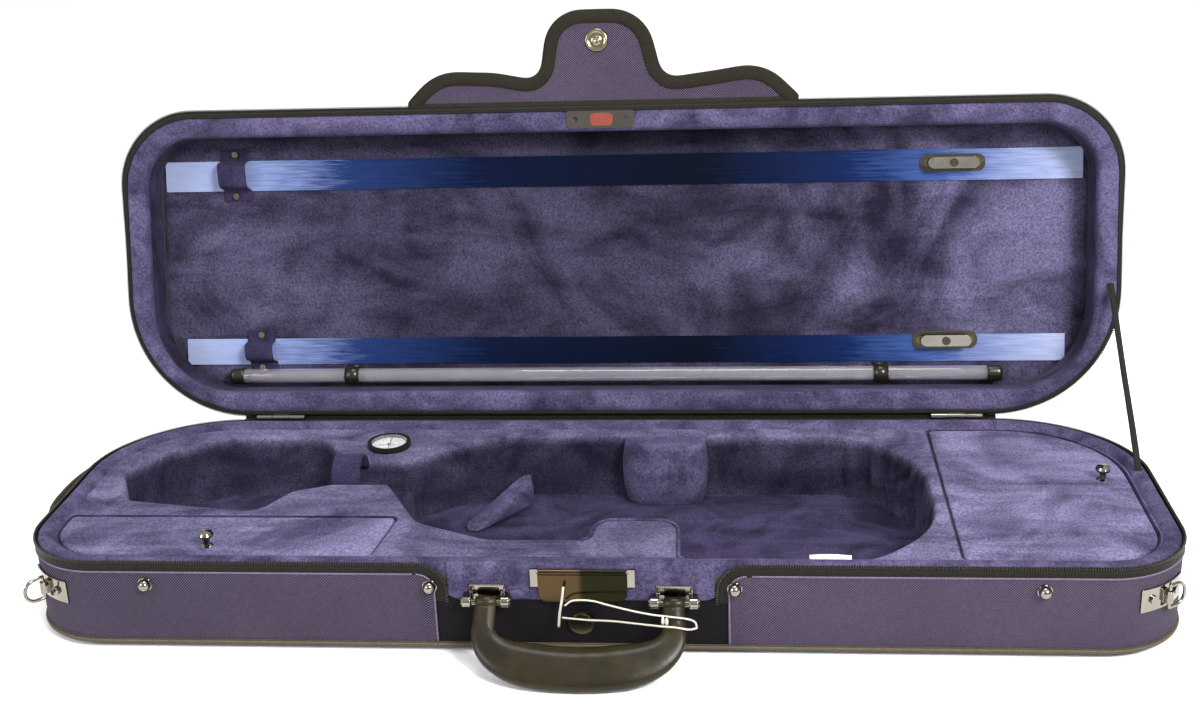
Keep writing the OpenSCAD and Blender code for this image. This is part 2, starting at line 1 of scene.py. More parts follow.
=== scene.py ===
import json
import math

import bpy
import numpy as np
from mathutils import Matrix, Vector, noise
from mathutils.geometry import delaunay_2d_cdt


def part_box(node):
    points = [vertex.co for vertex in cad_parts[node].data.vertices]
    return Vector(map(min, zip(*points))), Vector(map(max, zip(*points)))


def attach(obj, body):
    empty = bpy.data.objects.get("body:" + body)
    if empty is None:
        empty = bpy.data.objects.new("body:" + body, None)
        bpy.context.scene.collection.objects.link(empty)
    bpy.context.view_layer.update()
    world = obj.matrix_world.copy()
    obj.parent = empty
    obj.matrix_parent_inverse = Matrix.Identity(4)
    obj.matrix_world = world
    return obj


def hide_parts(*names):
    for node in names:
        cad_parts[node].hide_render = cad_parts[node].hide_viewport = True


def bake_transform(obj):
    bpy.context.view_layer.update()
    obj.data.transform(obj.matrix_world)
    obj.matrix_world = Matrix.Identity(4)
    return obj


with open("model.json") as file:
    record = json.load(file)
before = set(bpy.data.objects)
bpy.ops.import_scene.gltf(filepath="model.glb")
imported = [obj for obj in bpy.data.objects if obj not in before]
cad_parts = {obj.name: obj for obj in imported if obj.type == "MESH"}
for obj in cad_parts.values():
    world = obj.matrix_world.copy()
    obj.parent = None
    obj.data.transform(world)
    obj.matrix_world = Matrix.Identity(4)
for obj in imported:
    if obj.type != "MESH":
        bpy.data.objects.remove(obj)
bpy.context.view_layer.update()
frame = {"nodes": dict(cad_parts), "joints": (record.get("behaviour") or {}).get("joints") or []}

# Lengths are millimetres in the closed case's own frame; place() turns them into the row's metres.
MM = 0.001
COVER_T = 1.5
PAD_INSET = 13.5
LID_INSET = 18.0
LID_DEPTH = 50.0
PANEL_D = 40.0
FRONT_R = 58.0
BACK_R = 98.0
HOLLOW_R = 66.0
FOOT_H = 4.0
BAND_H = 9.0
BED_Z = 14.5
DECK_DROP = 4.0
BOARD_T = 4.0

shell_lo, shell_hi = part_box("base_shell")
PX = (shell_lo.x + shell_hi.x) / 2 / MM
PY = (shell_lo.y + shell_hi.y) / 2 / MM
HALF_L = (shell_hi.x - shell_lo.x) / 2 / MM + COVER_T
HALF_W = (shell_hi.y - shell_lo.y) / 2 / MM + COVER_T
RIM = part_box("base_rim_pad")[1].z / MM
JOINTS = {j["name"]: j for j in frame["joints"]}
HINGE_Y = JOINTS["lid_hinge"]["pos_m"][1] / MM - PY
OPEN = math.radians(min(JOINTS["lid_hinge"]["range_deg"]))
FRONT = -HALF_W
DECK = RIM - DECK_DROP
COVER_TOP = RIM - BAND_H
GAP = (-93.0, 85.0)
LID_BODIES = ("lid", "flap", "string_tube", "tube_cap")
for unused in ("Cube", "Light", "Camera"):
    if unused in bpy.data.objects:
        bpy.data.objects.remove(bpy.data.objects[unused])


def place(points, lid=False):
    p = np.array(points, float).reshape(-1, 3).copy()
    if lid:
        y, z = p[:, 1] - HINGE_Y, p[:, 2] - RIM
        p[:, 1] = HINGE_Y + y * math.cos(OPEN) - z * math.sin(OPEN)
        p[:, 2] = RIM + y * math.sin(OPEN) + z * math.cos(OPEN)
    return (p + [PX, PY, 0]) * MM


def lid_y(v):
    return HALF_W - v


def D(depth):
    return RIM + depth


def circle(count):
    return np.linspace(0, 2 * math.pi, count, endpoint=False)


def power(value, exponent):
    return math.copysign(abs(value) ** exponent, value)


def unit(t):
    return t / np.linalg.norm(t, axis=-1, keepdims=True)


def case_box(node):
    """A node's box in case millimetres: x, y and z pairs."""
    lo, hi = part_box(node)
    return (lo.x / MM - PX, hi.x / MM - PX), (lo.y / MM - PY, hi.y / MM - PY), (lo.z / MM, hi.z / MM)


# materials
def srgb(r, g, b):
    return tuple(((c / 255 + 0.055) / 1.055) ** 2.4 if c > 10 else c / 255 / 12.92 for c in (r, g, b)) + (1,)


class Mat:
    """A small builder for one procedural material."""

    def __init__(self, name, **sockets):
        self.m = bpy.data.materials.new(name)
        self.m.use_nodes = True
        self.t = self.m.node_tree
        self.b = self.t.nodes["Principled BSDF"]
        for key, value in sockets.items():
            self.b.inputs[key.replace("_", " ")].default_value = value
        self.coords = self.t.nodes.new("ShaderNodeTexCoord")

    def node(self, kind, **values):
        n = self.t.nodes.new(kind)
        for key, value in values.items():
            if hasattr(n, key) and key not in n.inputs:
                setattr(n, key, value)
            else:
                n.inputs[key].default_value = value
        return n

    def link(self, a, b):
        self.t.links.new(a, b)

    def vector(self, source="Object", scale=(1, 1, 1), turn=0.0):
        mapping = self.node("ShaderNodeMapping")
        mapping.inputs["Scale"].default_value = scale
        mapping.inputs["Rotation"].default_value = (0, 0, turn)
        self.link(self.coords.outputs[source], mapping.inputs["Vector"])
        return mapping.outputs["Vector"]

    def noise(self, scale, detail=2.0, rough=0.5, distortion=0.0, vector=None):
        n = self.node("ShaderNodeTexNoise", Scale=scale, Detail=detail, Roughness=rough,
                      Distortion=distortion)
        self.link(vector or self.coords.outputs["Object"], n.inputs["Vector"])
        return n.outputs["Fac"]

    def wave(self, scale, vector, distortion=0.0, profile="SIN"):
        n = self.node("ShaderNodeTexWave", Scale=scale, Distortion=distortion)
        n.wave_profile = profile
        self.link(vector, n.inputs["Vector"])
        return n.outputs["Fac"]

    def ramp(self, value, stops):
        n = self.node("ShaderNodeValToRGB")
        while len(n.color_ramp.elements) < len(stops):
            n.color_ramp.elements.new(0.5)
        for e, (at, colour) in zip(n.color_ramp.elements, stops):
            e.position = at
            e.color = colour
        self.link(value, n.inputs["Fac"])
        return n.outputs["Color"]

    def mix(self, a, b, factor, kind="MIX"):
        n = self.node("ShaderNodeMix")
        n.data_type = "RGBA"
        n.blend_type = kind
        for value, name in ((a, "A"), (b, "B"), (factor, "Factor")):
            sockets = [s for s in n.inputs if s.name == name and s.enabled]
            if hasattr(value, "is_output"):
                self.link(value, sockets[0])
            else:
                sockets[0].default_value = value
        return [s for s in n.outputs if s.enabled][0]

    def math(self, kind, a, b=0.0):
        n = self.node("ShaderNodeMath")
        n.operation = kind
        for i, value in enumerate((a, b)):
            if hasattr(value, "is_output"):
                self.link(value, n.inputs[i])
            else:
                n.inputs[i].default_value = value
        return n.outputs[0]

    def span(self, value, low, high, start=0.0, end=1.0):
        n = self.node("ShaderNodeMapRange")
        for name, limit in (("From Min", start), ("From Max", end), ("To Min", low), ("To Max", high)):
            n.inputs[name].default_value = limit
        self.link(value, n.inputs["Value"])
        return n.outputs["Result"]

    def axis(self, source, letter):
        n = self.node("ShaderNodeSeparateXYZ")
        self.link(self.coords.outputs[source], n.inputs[0])
        return n.outputs[letter]

    def drift(self, value, amount):
        """The place along the piece's length, made ragged by a noise value."""
        return self.math("ADD", self.axis("Generated", "X"),
                         self.math("MULTIPLY", self.math("SUBTRACT", value, 0.5), amount))

    def bump(self, value, strength, distance, before=None):
        n = self.node("ShaderNodeBump", Strength=strength, Distance=distance)
        self.link(value, n.inputs["Height"])
        if before:
            self.link(before, n.inputs["Normal"])
        return n.outputs["Normal"]

    def finish(self, colour=None, rough=None, normal=None):
        for value, name in ((colour, "Base Color"), (rough, "Roughness"), (normal, "Normal")):
            if value is not None:
                self.link(value, self.b.inputs[name])
        return self.m


def suede(name, dark, light, patch=14.0, contrast=(0.3, 0.7), grain=0.7, painted_shade_heights=None, painted_light_tones=None):
    """Brushed nap. The height pair, if given, darkens the colour lower down as painted shade in a hollow; the
    tone list, if given, brightens and darkens it along the piece's length as painted light and shade.
    """
    s = Mat(name, Sheen_Weight=0.07, Sheen_Roughness=0.45, Specular_IOR_Level=0.05)
    s.b.inputs["Sheen Tint"].default_value = srgb(176, 172, 204)
    wide = s.noise(patch, 3.0, 0.55, 1.6)
    brush = s.noise(26.0, 4.0, 0.6, 0.8, s.vector("Object", (0.35, 1.6, 1.0), 0.5))
    both = s.mix(wide, brush, 0.42)
    shade = s.ramp(both, [(contrast[0], dark), (0.5, tuple((a + b) / 2 for a, b in zip(dark, light))),
                          (contrast[1], light)])
    fine = s.noise(560.0, 4.0, 0.8)
    speck = s.ramp(fine, [(0.36, (0.42, 0.42, 0.45, 1)), (0.64, (1.55, 1.55, 1.6, 1))])
    colour = s.mix(shade, speck, grain, "MULTIPLY")
    # painted shade: the colour is darkened below the given heights, standing in for the shade that falls inside
    # a hollow
    if painted_shade_heights:
        height = s.span(s.axis("Object", "Z"), 0.0, 1.0, *painted_shade_heights)
        shadow = s.ramp(height, [(0.0, (0.34, 0.33, 0.36, 1)), (1.0, (1, 1, 1, 1))])
        colour = s.mix(colour, shadow, 1.0, "MULTIPLY")
    # painted light and shade: the colour is brightened and darkened along the piece's length, standing in for
    # how the light falls across it
    if painted_light_tones:
        tone = s.ramp(s.drift(wide, 0.5), [(at, (k, k, k, 1)) for at, k in painted_light_tones])
        colour = s.mix(colour, tone, 1.0, "MULTIPLY")
    normal = s.bump(fine, 0.35, 0.0007, s.bump(brush, 0.12, 0.004))
    return s.finish(colour, s.span(wide, 0.82, 0.98), normal)


PER_MM = 314.0  # wave texture scale that repeats once a millimetre


def twill(name, dark, light, pitch=2.1, turn=0.785, deep=0.75):
    s = Mat(name, Sheen_Weight=0.02, Sheen_Roughness=0.5, Specular_IOR_Level=0.1)
    scale = PER_MM / pitch
    ribs = s.wave(scale, s.vector("UV", (1, 1, 1), turn))
    cross = s.wave(scale * 1.9, s.vector("UV", (1, 1, 1), turn + 1.571))
    thread = s.math("MULTIPLY", ribs, s.span(cross, 0.6, 1.0))
    dust = s.noise(420.0, 3.0, 0.7)
    broad = s.noise(9.0, 2.0, 0.5)
    base = s.ramp(thread, [(0.08, dark), (0.85, light)])
    tone = s.ramp(dust, [(0.3, (0.72, 0.72, 0.74, 1)), (0.7, (1.25, 1.25, 1.28, 1))])
    wear = s.ramp(broad, [(0.35, (0.86, 0.86, 0.88, 1)), (0.65, (1.12, 1.1, 1.12, 1))])
    colour = s.mix(s.mix(base, tone, 0.6, "MULTIPLY"), wear, 0.8, "MULTIPLY")
    normal = s.bump(thread, deep, 0.0006, s.bump(dust, 0.2, 0.0003))
    return s.finish(colour, s.span(thread, 0.88, 0.66), normal)


def woven(name, dark, light, pitch=1.1, along=1.0, shine=0.7):
    """Narrow woven tape or webbing: small bumps in rows."""
    s = Mat(name, Specular_IOR_Level=0.15)
    warp = s.wave(PER_MM / pitch, s.vector("UV"))
    weft = s.wave(PER_MM / pitch / along, s.vector("UV", (1, 1, 1), 1.571))
    cell = s.math("MULTIPLY", s.span(warp, 0.35, 1.0), s.span(weft, 0.35, 1.0))
    dust = s.noise(300.0, 3.0, 0.6)
    tone = s.ramp(dust, [(0.3, (0.7, 0.7, 0.7, 1)), (0.7, (1.25, 1.25, 1.2, 1))])
    colour = s.mix(s.ramp(cell, [(0.12, dark), (0.9, light)]), tone, 0.6, "MULTIPLY")
    return s.finish(colour, s.span(cell, shine + 0.15, shine - 0.12), s.bump(cell, 0.6, 0.0005))


def metal(name, colour, rough=0.16, brushed=(1, 1, 1), wear=0.1, right=None):
    s = Mat(name, Metallic=1.0)
    smear = s.noise(160.0, 4.0, 0.6, 0.2, s.vector("Object", brushed))
    spots = s.noise(45.0, 3.0, 0.6)
    tint = s.ramp(spots, [(0.3, tuple(c * 0.86 for c in colour[:3]) + (1,)), (0.7, colour)])
    # painted reflection: the right half of the piece takes a second, darker colour, standing in for the room
    # reflected in the metal
    if right:
        tint = s.mix(tint, right, s.ramp(s.axis("Generated", "X"),
                                         [(0.44, (0, 0, 0, 1)), (0.5, (1, 1, 1, 1))]))
    return s.finish(tint, s.span(smear, max(0.03, rough - wear), rough + wear), s.bump(smear, 0.05, 0.0004))


def plastic(name, colour, rough=0.35, grain=0.12, scale=240.0):
    s = Mat(name, Specular_IOR_Level=0.3)
    pores = s.noise(scale, 3.0, 0.6)
    tone = s.ramp(pores, [(0.3, tuple(c * 0.8 for c in colour[:3]) + (1,)), (0.7, colour)])
    return s.finish(tone, s.span(pores, rough - 0.08, rough + 0.1), s.bump(pores, grain, 0.0004))


def leather(name, dark, light):
    s = Mat(name, Specular_IOR_Level=0.22)
    cells = s.node("ShaderNodeTexVoronoi", Scale=620.0)
    s.link(s.coords.outputs["Object"], cells.inputs["Vector"])
    pores = s.noise(900.0, 2.0, 0.6)
    rub = s.noise(40.0, 4.0, 0.6)
    height = s.math("ADD", s.span(cells.outputs["Distance"], 1.0, 0.0), s.math("MULTIPLY", pores, 0.4))
    tone = s.ramp(pores, [(0.35, (0.7, 0.7, 0.7, 1)), (0.7, (1.2, 1.2, 1.15, 1))])
    colour = s.mix(s.ramp(rub, [(0.32, dark), (0.7, light)]), tone, 0.5, "MULTIPLY")
    return s.finish(colour, s.span(rub, 0.3, 0.42), s.bump(height, 0.12, 0.0004))


def satin():
    s = Mat("satin_blue", Specular_IOR_Level=0.04)
    thread = s.wave(PER_MM / 0.55, s.vector("UV", (1, 1, 1), 1.571), 0.6)
    streak = s.noise(60.0, 4.0, 0.65, 0.4, s.vector("UV", (0.6, 9.0, 1)))
    # painted highlight: the ribbon's colour runs from pale blue-grey at both ends to near black in the middle,
    # standing in for the satin's sheen
    base = s.ramp(s.drift(streak, 0.16), [
        (0.0, srgb(138, 147, 176)), (0.10, srgb(112, 125, 164)), (0.2, srgb(26, 42, 84)),
        (0.36, srgb(3, 12, 36)), (0.6, srgb(1, 5, 18)), (0.76, srgb(8, 24, 62)), (0.86, srgb(50, 72, 122)),
        (1.0, srgb(142, 150, 178))])
    tone = s.ramp(thread, [(0.2, (0.8, 0.8, 0.82, 1)), (0.8, (1.12, 1.12, 1.15, 1))])
    colour = s.mix(base, tone, 0.8, "MULTIPLY")
    return s.finish(colour, s.span(streak, 0.4, 0.55), s.bump(thread, 0.2, 0.0002))


def clear(name, tint, rough=0.06):
    s = Mat(name, Transmission_Weight=0.93, IOR=1.3)
    film = s.noise(30.0, 3.0, 0.5, 0.3, s.vector("Object", (0.2, 2.0, 2.0)))
    return s.finish(s.ramp(film, [(0.3, tint), (0.7, (1, 1, 1, 1))]), s.span(film, rough, rough + 0.05),
                    s.bump(film, 0.03, 0.0005))


# painted shade and light: SUEDE is darkened lower down in the bed's hollows, and brightened and darkened along
# its length with its brightest part at the right end
SUEDE = suede("suede_bed", srgb(44, 41, 61), srgb(86, 82, 105), 12.0, (0.38, 0.60), 0.9, (0.0560, 0.0635),
              [(0.15, 1.05), (0.5, 0.85), (0.72, 0.9), (0.88, 1.25)])
SUEDE_BOARD = suede("suede_board", srgb(50, 47, 68), srgb(96, 92, 118), 12.0, (0.38, 0.60), 0.9)
# painted shade: a darker copy of the suede for the hold linings, the bed floor, the neck saddle and the lid's
# inner wall, standing in for the shade in those hollows
SUEDE_SHADED = suede("suede_painted_shade", srgb(22, 19, 32), srgb(50, 44, 68), 20.0, (0.38, 0.60))
# painted light and shade: SUEDE_LID is darkened in the middle of its length and brightest at the right end
SUEDE_LID = suede("suede_lid", srgb(29, 26, 40), srgb(70, 66, 88), 9.0, (0.39, 0.60), 0.9, None,
                  [(0.05, 1.05), (0.3, 0.72), (0.6, 0.5), (0.8, 1.1), (1.0, 1.4)])
SUEDE_RIM = suede("suede_rim", srgb(40, 37, 56), srgb(72, 67, 92), 22.0, (0.38, 0.60), 0.9)
SUEDE_FLAP = suede("suede_strap", srgb(26, 23, 40), srgb(50, 45, 70), 30.0)
TWILL = twill("cover_twill", srgb(13, 10, 16), srgb(88, 77, 97), 1.35)
TWILL_DEEP = twill("panel_twill", srgb(3, 2, 4), srgb(22, 18, 22), 0.9, -0.785)
TAPE = woven("zipper_tape", srgb(4, 3, 2), srgb(26, 22, 12), 1.0, 1.4, 0.55)
BINDING = woven("black_binding", srgb(6, 5, 2), srgb(34, 29, 15), 1.1, 0.8, 0.62)
WEB = woven("webbing", srgb(16, 15, 12), srgb(74, 68, 52), 1.6, 0.5, 0.6)
PIPE = woven("piping_cloth", srgb(38, 34, 26), srgb(96, 88, 70), 1.8, 0.5, 0.6)
COIL = plastic("zipper_coil", srgb(36, 33, 28), 0.28)
HEM = woven("hem_edge", srgb(60, 52, 70), srgb(118, 108, 132), 1.2, 1.0, 0.7)
THREAD = plastic("stitching", srgb(58, 52, 60), 0.7)
THREAD_DARK = plastic("black_stitching", srgb(26, 24, 20), 0.6)
CHROME = metal("chrome", srgb(132, 126, 118), 0.09)
NICKEL = metal("brushed_nickel", srgb(92, 86, 72), 0.22, (0.05, 3.0, 3.0), 0.1)
BRASS = metal("antique_brass", srgb(126, 116, 96), 0.2)
# painted highlight and shade: the spinner bars get a paler metal and the spinner plates a darker one, standing
# in for the light the rounded bars catch and the shade on the plates
BAR_HIGHLIT = metal("spinner_bar", srgb(186, 182, 172), 0.14)
# painted reflection: the latch plate's brown left half and dark olive right half stand in for the room reflected
# in it
PLATE = metal("latch_nickel", srgb(70, 57, 38), 0.2, (0.05, 3.0, 3.0), 0.08, srgb(30, 29, 18))
# a red-brown colour for the pad behind the strike plate's slots
STRIKE_RED = plastic("strike_core", srgb(112, 44, 34), 0.5, 0.3)
LEATHER = leather("handle_leather", srgb(16, 12, 1), srgb(34, 27, 6))
SATIN = satin()
GLOSS = plastic("black_plastic", srgb(26, 23, 15), 0.22, 0.04)
CLEAR = clear("clear_tube", (0.80, 0.77, 0.86, 1), 0.02)
LENS = clear("dial_lens", (0.96, 0.97, 0.98, 1), 0.03)
CARD = plastic("white_card", srgb(232, 231, 226), 0.6, 0.1, 700.0)
MILKY = plastic("milky_nylon", srgb(176, 172, 160), 0.3, 0.05)
INK = plastic("dial_ink", srgb(28, 27, 26), 0.5)
BOARD = plastic("shell_board", srgb(60, 56, 50), 0.7, 0.2)


# mesh helpers
def piece(name, mesh, material, body=None, replaces=(), solid=0.0):
    """A visible piece from vertices, faces and, if given, texture places; it rides on its body."""
    verts, faces, uv = (*mesh, None)[:3]
    data = bpy.data.meshes.new(name)
    data.from_pydata(place(verts, body in LID_BODIES).tolist(), [], [tuple(int(i) for i in f) for f in faces])
    if uv is not None:
        layer = data.uv_layers.new(name="UVMap")
        layer.data.foreach_set("uv", (np.array([c for quad in uv for c in quad], float) * MM).ravel())
    data.validate()
    data.materials.append(material)
    data.polygons.foreach_set("use_smooth", [True] * len(data.polygons))
    o = bpy.data.objects.new(name, data)
    bpy.context.scene.collection.objects.link(o)
    if solid:
        m = o.modifiers.new("thickness", "SOLIDIFY")
        m.thickness = solid * MM
        m.offset = 0
    if body:
        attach(o, body)
    if replaces:
        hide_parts(*replaces)
    return o


def grid(rows, closed=False, wrap=False, flip=False):
    """A sheet of rows; closed joins each row's ends, wrap joins the last row to the first."""
    r = np.array(rows, float)
    nv, nu = r.shape[:2]
    mid = r[nv // 2]
    du = np.r_[0, np.cumsum(np.linalg.norm(np.diff(np.vstack([mid, mid[:1]]), axis=0), axis=1))]
    col = r[:, nu // 2]
    dv = np.r_[0, np.cumsum(np.linalg.norm(np.diff(np.vstack([col, col[:1]]), axis=0), axis=1))]
    faces, uv = [], []
    for j in range(nv if wrap else nv - 1):
        for i in range(nu if closed else nu - 1):
            i2, j2 = (i + 1) % nu, (j + 1) % nv
            f = [j * nu + i, j * nu + i2, j2 * nu + i2, j2 * nu + i]
            t = [(du[i], dv[j]), (du[i + 1], dv[j]), (du[i + 1], dv[j + 1]), (du[i], dv[j + 1])]
            faces.append(f[::-1] if flip else f)
            uv.append(t[::-1] if flip else t)
    return r.reshape(-1, 3), faces, uv


def merge(parts):
    verts, faces, uv = [], [], []
    base = 0
    for v, f, t in parts:
        verts.append(np.array(v, float).reshape(-1, 3))
        faces += [[i + base for i in q] for q in f]
        uv += t if t is not None else [[(0, 0)] * len(q) for q in f]
        base += len(verts[-1])
    return np.vstack(verts), faces, uv


def capped(mesh, sides):
    """Flat ends on a skin whose rows hold this many points."""
    v, f, uv = mesh
    ends = [list(range(sides))[::-1], [len(v) - sides + k for k in range(sides)]]
    return v, f + ends, uv + [[(0, 0)] * sides] * 2


def rounded(corners, n=8):
    """Points round corners (x, y, radius)."""
    out = []
    count = len(corners)
    for i, (x, y, r) in enumerate(corners):
        p, a, c = np.array([x, y]), np.array(corners[i - 1][:2]), np.array(corners[(i + 1) % count][:2])
        if r == 0:
            out.append(p)
            continue
        u, w = unit(a - p), unit(c - p)
        half = math.acos(np.clip(u @ w, -1, 1)) / 2
        centre = p + unit(u + w) * r / math.sin(half)
        s, e = p + u * r / math.tan(half) - centre, p + w * r / math.tan(half) - centre
        start = math.atan2(s[1], s[0])
        turn = (math.atan2(e[1], e[0]) - start + 3 * math.pi) % (2 * math.pi) - math.pi
        for k in range(n + 1):
            out.append(centre + r * np.array([math.cos(start + turn * k / n),
                                              math.sin(start + turn * k / n)]))
    return np.array(out)


def resample(points, step, closed=True):
    p = np.array(points, float)
    if closed:
        p = np.vstack([p, p[:1]])
    d = np.r_[0, np.cumsum(np.linalg.norm(np.diff(p, axis=0), axis=1))]
    n = max(3, int(round(d[-1] / step)))
    t = np.linspace(0, d[-1], n + 1)
    if closed:
        t = t[:-1]
    return np.stack([np.interp(t, d, p[:, k]) for k in range(p.shape[1])], axis=1)


def normals(p, closed=True):
    """Right-hand normals in plan, which point out of an outline that runs anticlockwise."""
    t = np.roll(p, -1, axis=0) - np.roll(p, 1, axis=0) if closed else np.gradient(p, axis=0)
    t = t[:, :2] / np.maximum(np.linalg.norm(t[:, :2], axis=1, keepdims=True), 1e-9)
    return np.stack([t[:, 1], -t[:, 0]], axis=1)


def offset(p, out, closed=True):
    return p[:, :2] + normals(p, closed) * out


def outline(k=0.0, step=4.0, back=BACK_R):
    x, y = HALF_L - k, HALF_W - k
    corners = [(-x, -y, FRONT_R - k), (x, -y, FRONT_R - k), (x, y, back - k), (-x, y, back - k)]
    return resample(rounded(corners, 24), step)


def at_height(p, z):
    return np.column_stack([p[:, :2], np.full(len(p), z) if np.isscalar(z) else z])


def ccw(p):
    area = np.sum(p[:, 0] * np.roll(p[:, 1], -1) - np.roll(p[:, 0], -1) * p[:, 1])
    return p if area > 0 else p[::-1]


def sweep(path, profile, ripple):
    """Profile rows (out, z) swept round a closed plan path, with ripple(path, share of the profile) added."""
    n = normals(path)
    last = len(profile) - 1
    return grid([at_height(path[:, :2] + n * (out + ripple(path, j / last))[:, None], z)
                 for j, (out, z) in enumerate(profile)], True)


def tube(path, r, sides=10, closed=False):
    p = np.array(path, float)
    t = unit(np.roll(p, -1, axis=0) - np.roll(p, 1, axis=0) if closed else np.gradient(p, axis=0))
    up = np.array([0, 0, 1.0]) if abs(t[0][2]) < 0.9 else np.array([0, 1.0, 0])
    rows = []
    for i in range(len(p)):
        s = np.cross(t[i], up)
        if np.linalg.norm(s) < 1e-3:
            s = np.cross(t[i], [1.0, 0, 0])
        s = unit(s)
        u = up = np.cross(s, t[i])
        rad = r if np.isscalar(r) else r[i]
        rows.append([p[i] + rad * (math.cos(a) * s + math.sin(a) * u)
                     for a in circle(sides)])
    skin = grid(rows, True, closed)
    return skin if closed else capped(skin, sides)


def bead(centre, u, v, w, a, b, c, around=8, rings=4):
    """Ellipsoid with half sizes a, b, c along the unit vectors u, v, w."""
    centre, u, v, w = (np.array(q, float) for q in (centre, u, v, w))
    verts = [centre - c * w]
    for j in range(1, rings):
        lat = -math.pi / 2 + math.pi * j / rings
        for i in range(around):
            lon = 2 * math.pi * i / around
            verts.append(centre + math.cos(lat) * (a * math.cos(lon) * u + b * math.sin(lon) * v)
                         + c * math.sin(lat) * w)
    verts.append(centre + c * w)
    faces = [[0, 1 + (i + 1) % around, 1 + i] for i in range(around)]
    for j in range(rings - 2):
        for i in range(around):
            k, m = 1 + j * around, 1 + (j + 1) * around
            faces.append([k + i, k + (i + 1) % around, m + (i + 1) % around, m + i])
    top, k = len(verts) - 1, 1 + (rings - 2) * around
    faces += [[k + i, k + (i + 1) % around, top] for i in range(around)]
    return np.array(verts), faces, None


def stitches(path, normal, pitch=2.6, length=1.8, r=0.28):
    """Thread stitches laid along a 3-D path, lifted off along the normal."""
    p = resample(path, pitch, False)
    t = np.gradient(p, axis=0)
    n = np.array(normal, float)
    parts = []
    for i in range(len(p)):
        d = t[i] / max(np.linalg.norm(t[i]), 1e-9)
        s = np.cross(d, n)
        parts.append(bead(p[i] + n * r * 0.6, d, s, n, length / 2, r, r, 6, 3))
    return merge(parts)


def inside(points, polygon):
    x, y = points[:, 0], points[:, 1]
    hit = np.zeros(len(points), bool)
    q = np.roll(polygon, -1, axis=0)
    for (x0, y0), (x1, y1) in zip(polygon[:, :2], q[:, :2]):
        cross = (y0 > y) != (y1 > y)
        hit ^= cross & (x < (x1 - x0) * (y - y0) / (y1 - y0 + 1e-12) + x0)
    return hit


def filled(outer, holes=(), step=9.0, lift=None, z=0.0):
    """A flat face with holes as triangles, with inner points so that it can undulate."""
    loops = [outer[:, :2]] + [h[:, :2] for h in holes]
    verts, edges = [], []
    for loop in loops:
        base = len(verts)
        verts += [Vector(p) for p in loop]
        edges += [(base + i, base + (i + 1) % len(loop)) for i in range(len(loop))]
    lo, hi = outer[:, :2].min(0), outer[:, :2].max(0)
    gx, gy = np.meshgrid(np.arange(lo[0] + step / 2, hi[0], step), np.arange(lo[1] + step / 2, hi[1], step))
    cloud = np.column_stack([gx.ravel(), gy.ravel()])
    cloud[:, 0] += (np.arange(len(cloud)) % 7 - 3) * 0.11
    edge_points = np.vstack(loops)
    keep = inside(cloud, outer)
    for h in holes:
        keep &= ~inside(cloud, h)
    cloud = cloud[keep]
    if len(cloud):
        cloud = cloud[[np.min(np.sum((edge_points - c) ** 2, axis=1)) > (step * 0.45) ** 2 for c in cloud]]
    verts += [Vector(p) for p in cloud]
    v, _, tris, _, _, _ = delaunay_2d_cdt(verts, edges, [], 0, 1e-4)
    v = np.array([(p[0], p[1]) for p in v])
    mid = np.array([v[list(t)].mean(axis=0) for t in tris])
    ok = inside(mid, outer)
    for h in holes:
        ok &= ~inside(mid, h)
    tris = [t for t, good in zip(tris, ok) if good]
    zs = np.full(len(v), float(z))
    if lift is not None:
        dist = np.array([np.sqrt(np.min(np.sum((edge_points - p) ** 2, axis=1))) for p in v])
        zs += lift(v, dist)
    uv = [[tuple(v[i]) for i in t] for t in tris]
    return np.column_stack([v, zs]), [list(t) for t in tris], uv


def soft(x, y, size, seed=0.0):
    return noise.noise(Vector((x / size, y / size, seed)))


def soft_row(p, size, seed):
    return np.array([soft(x, y, size, seed) for x, y in p[:, :2]])


def padded_slab(corners, z0, z1, round_r, crown=0.0, step=5.0, inset=0.0, wobble=0.0, seed=1.0):
    """Closed pad in plan outline, rounded over at its upper edge and crowned."""
    p = resample(rounded(corners), step)
    if inset:
        p = offset(p, -inset)
    rows = [at_height(p, z0)]
    for a in np.linspace(0, math.pi / 2, 5):
        rows.append(at_height(offset(p, -round_r * (1 - math.cos(a))), z1 - round_r + round_r * math.sin(a)))

    def lift(q, dist):
        bulge = crown * (1 - np.exp(-dist / 14.0))
        return bulge + wobble * soft_row(q, 38, seed) * np.minimum(1, dist / 10)

    top = filled(rows[-1], (), step * 1.6, lift, z1)
    bottom = filled(rows[0], (), 60.0, None, z0)
    return merge([grid(rows, True), top, bottom])


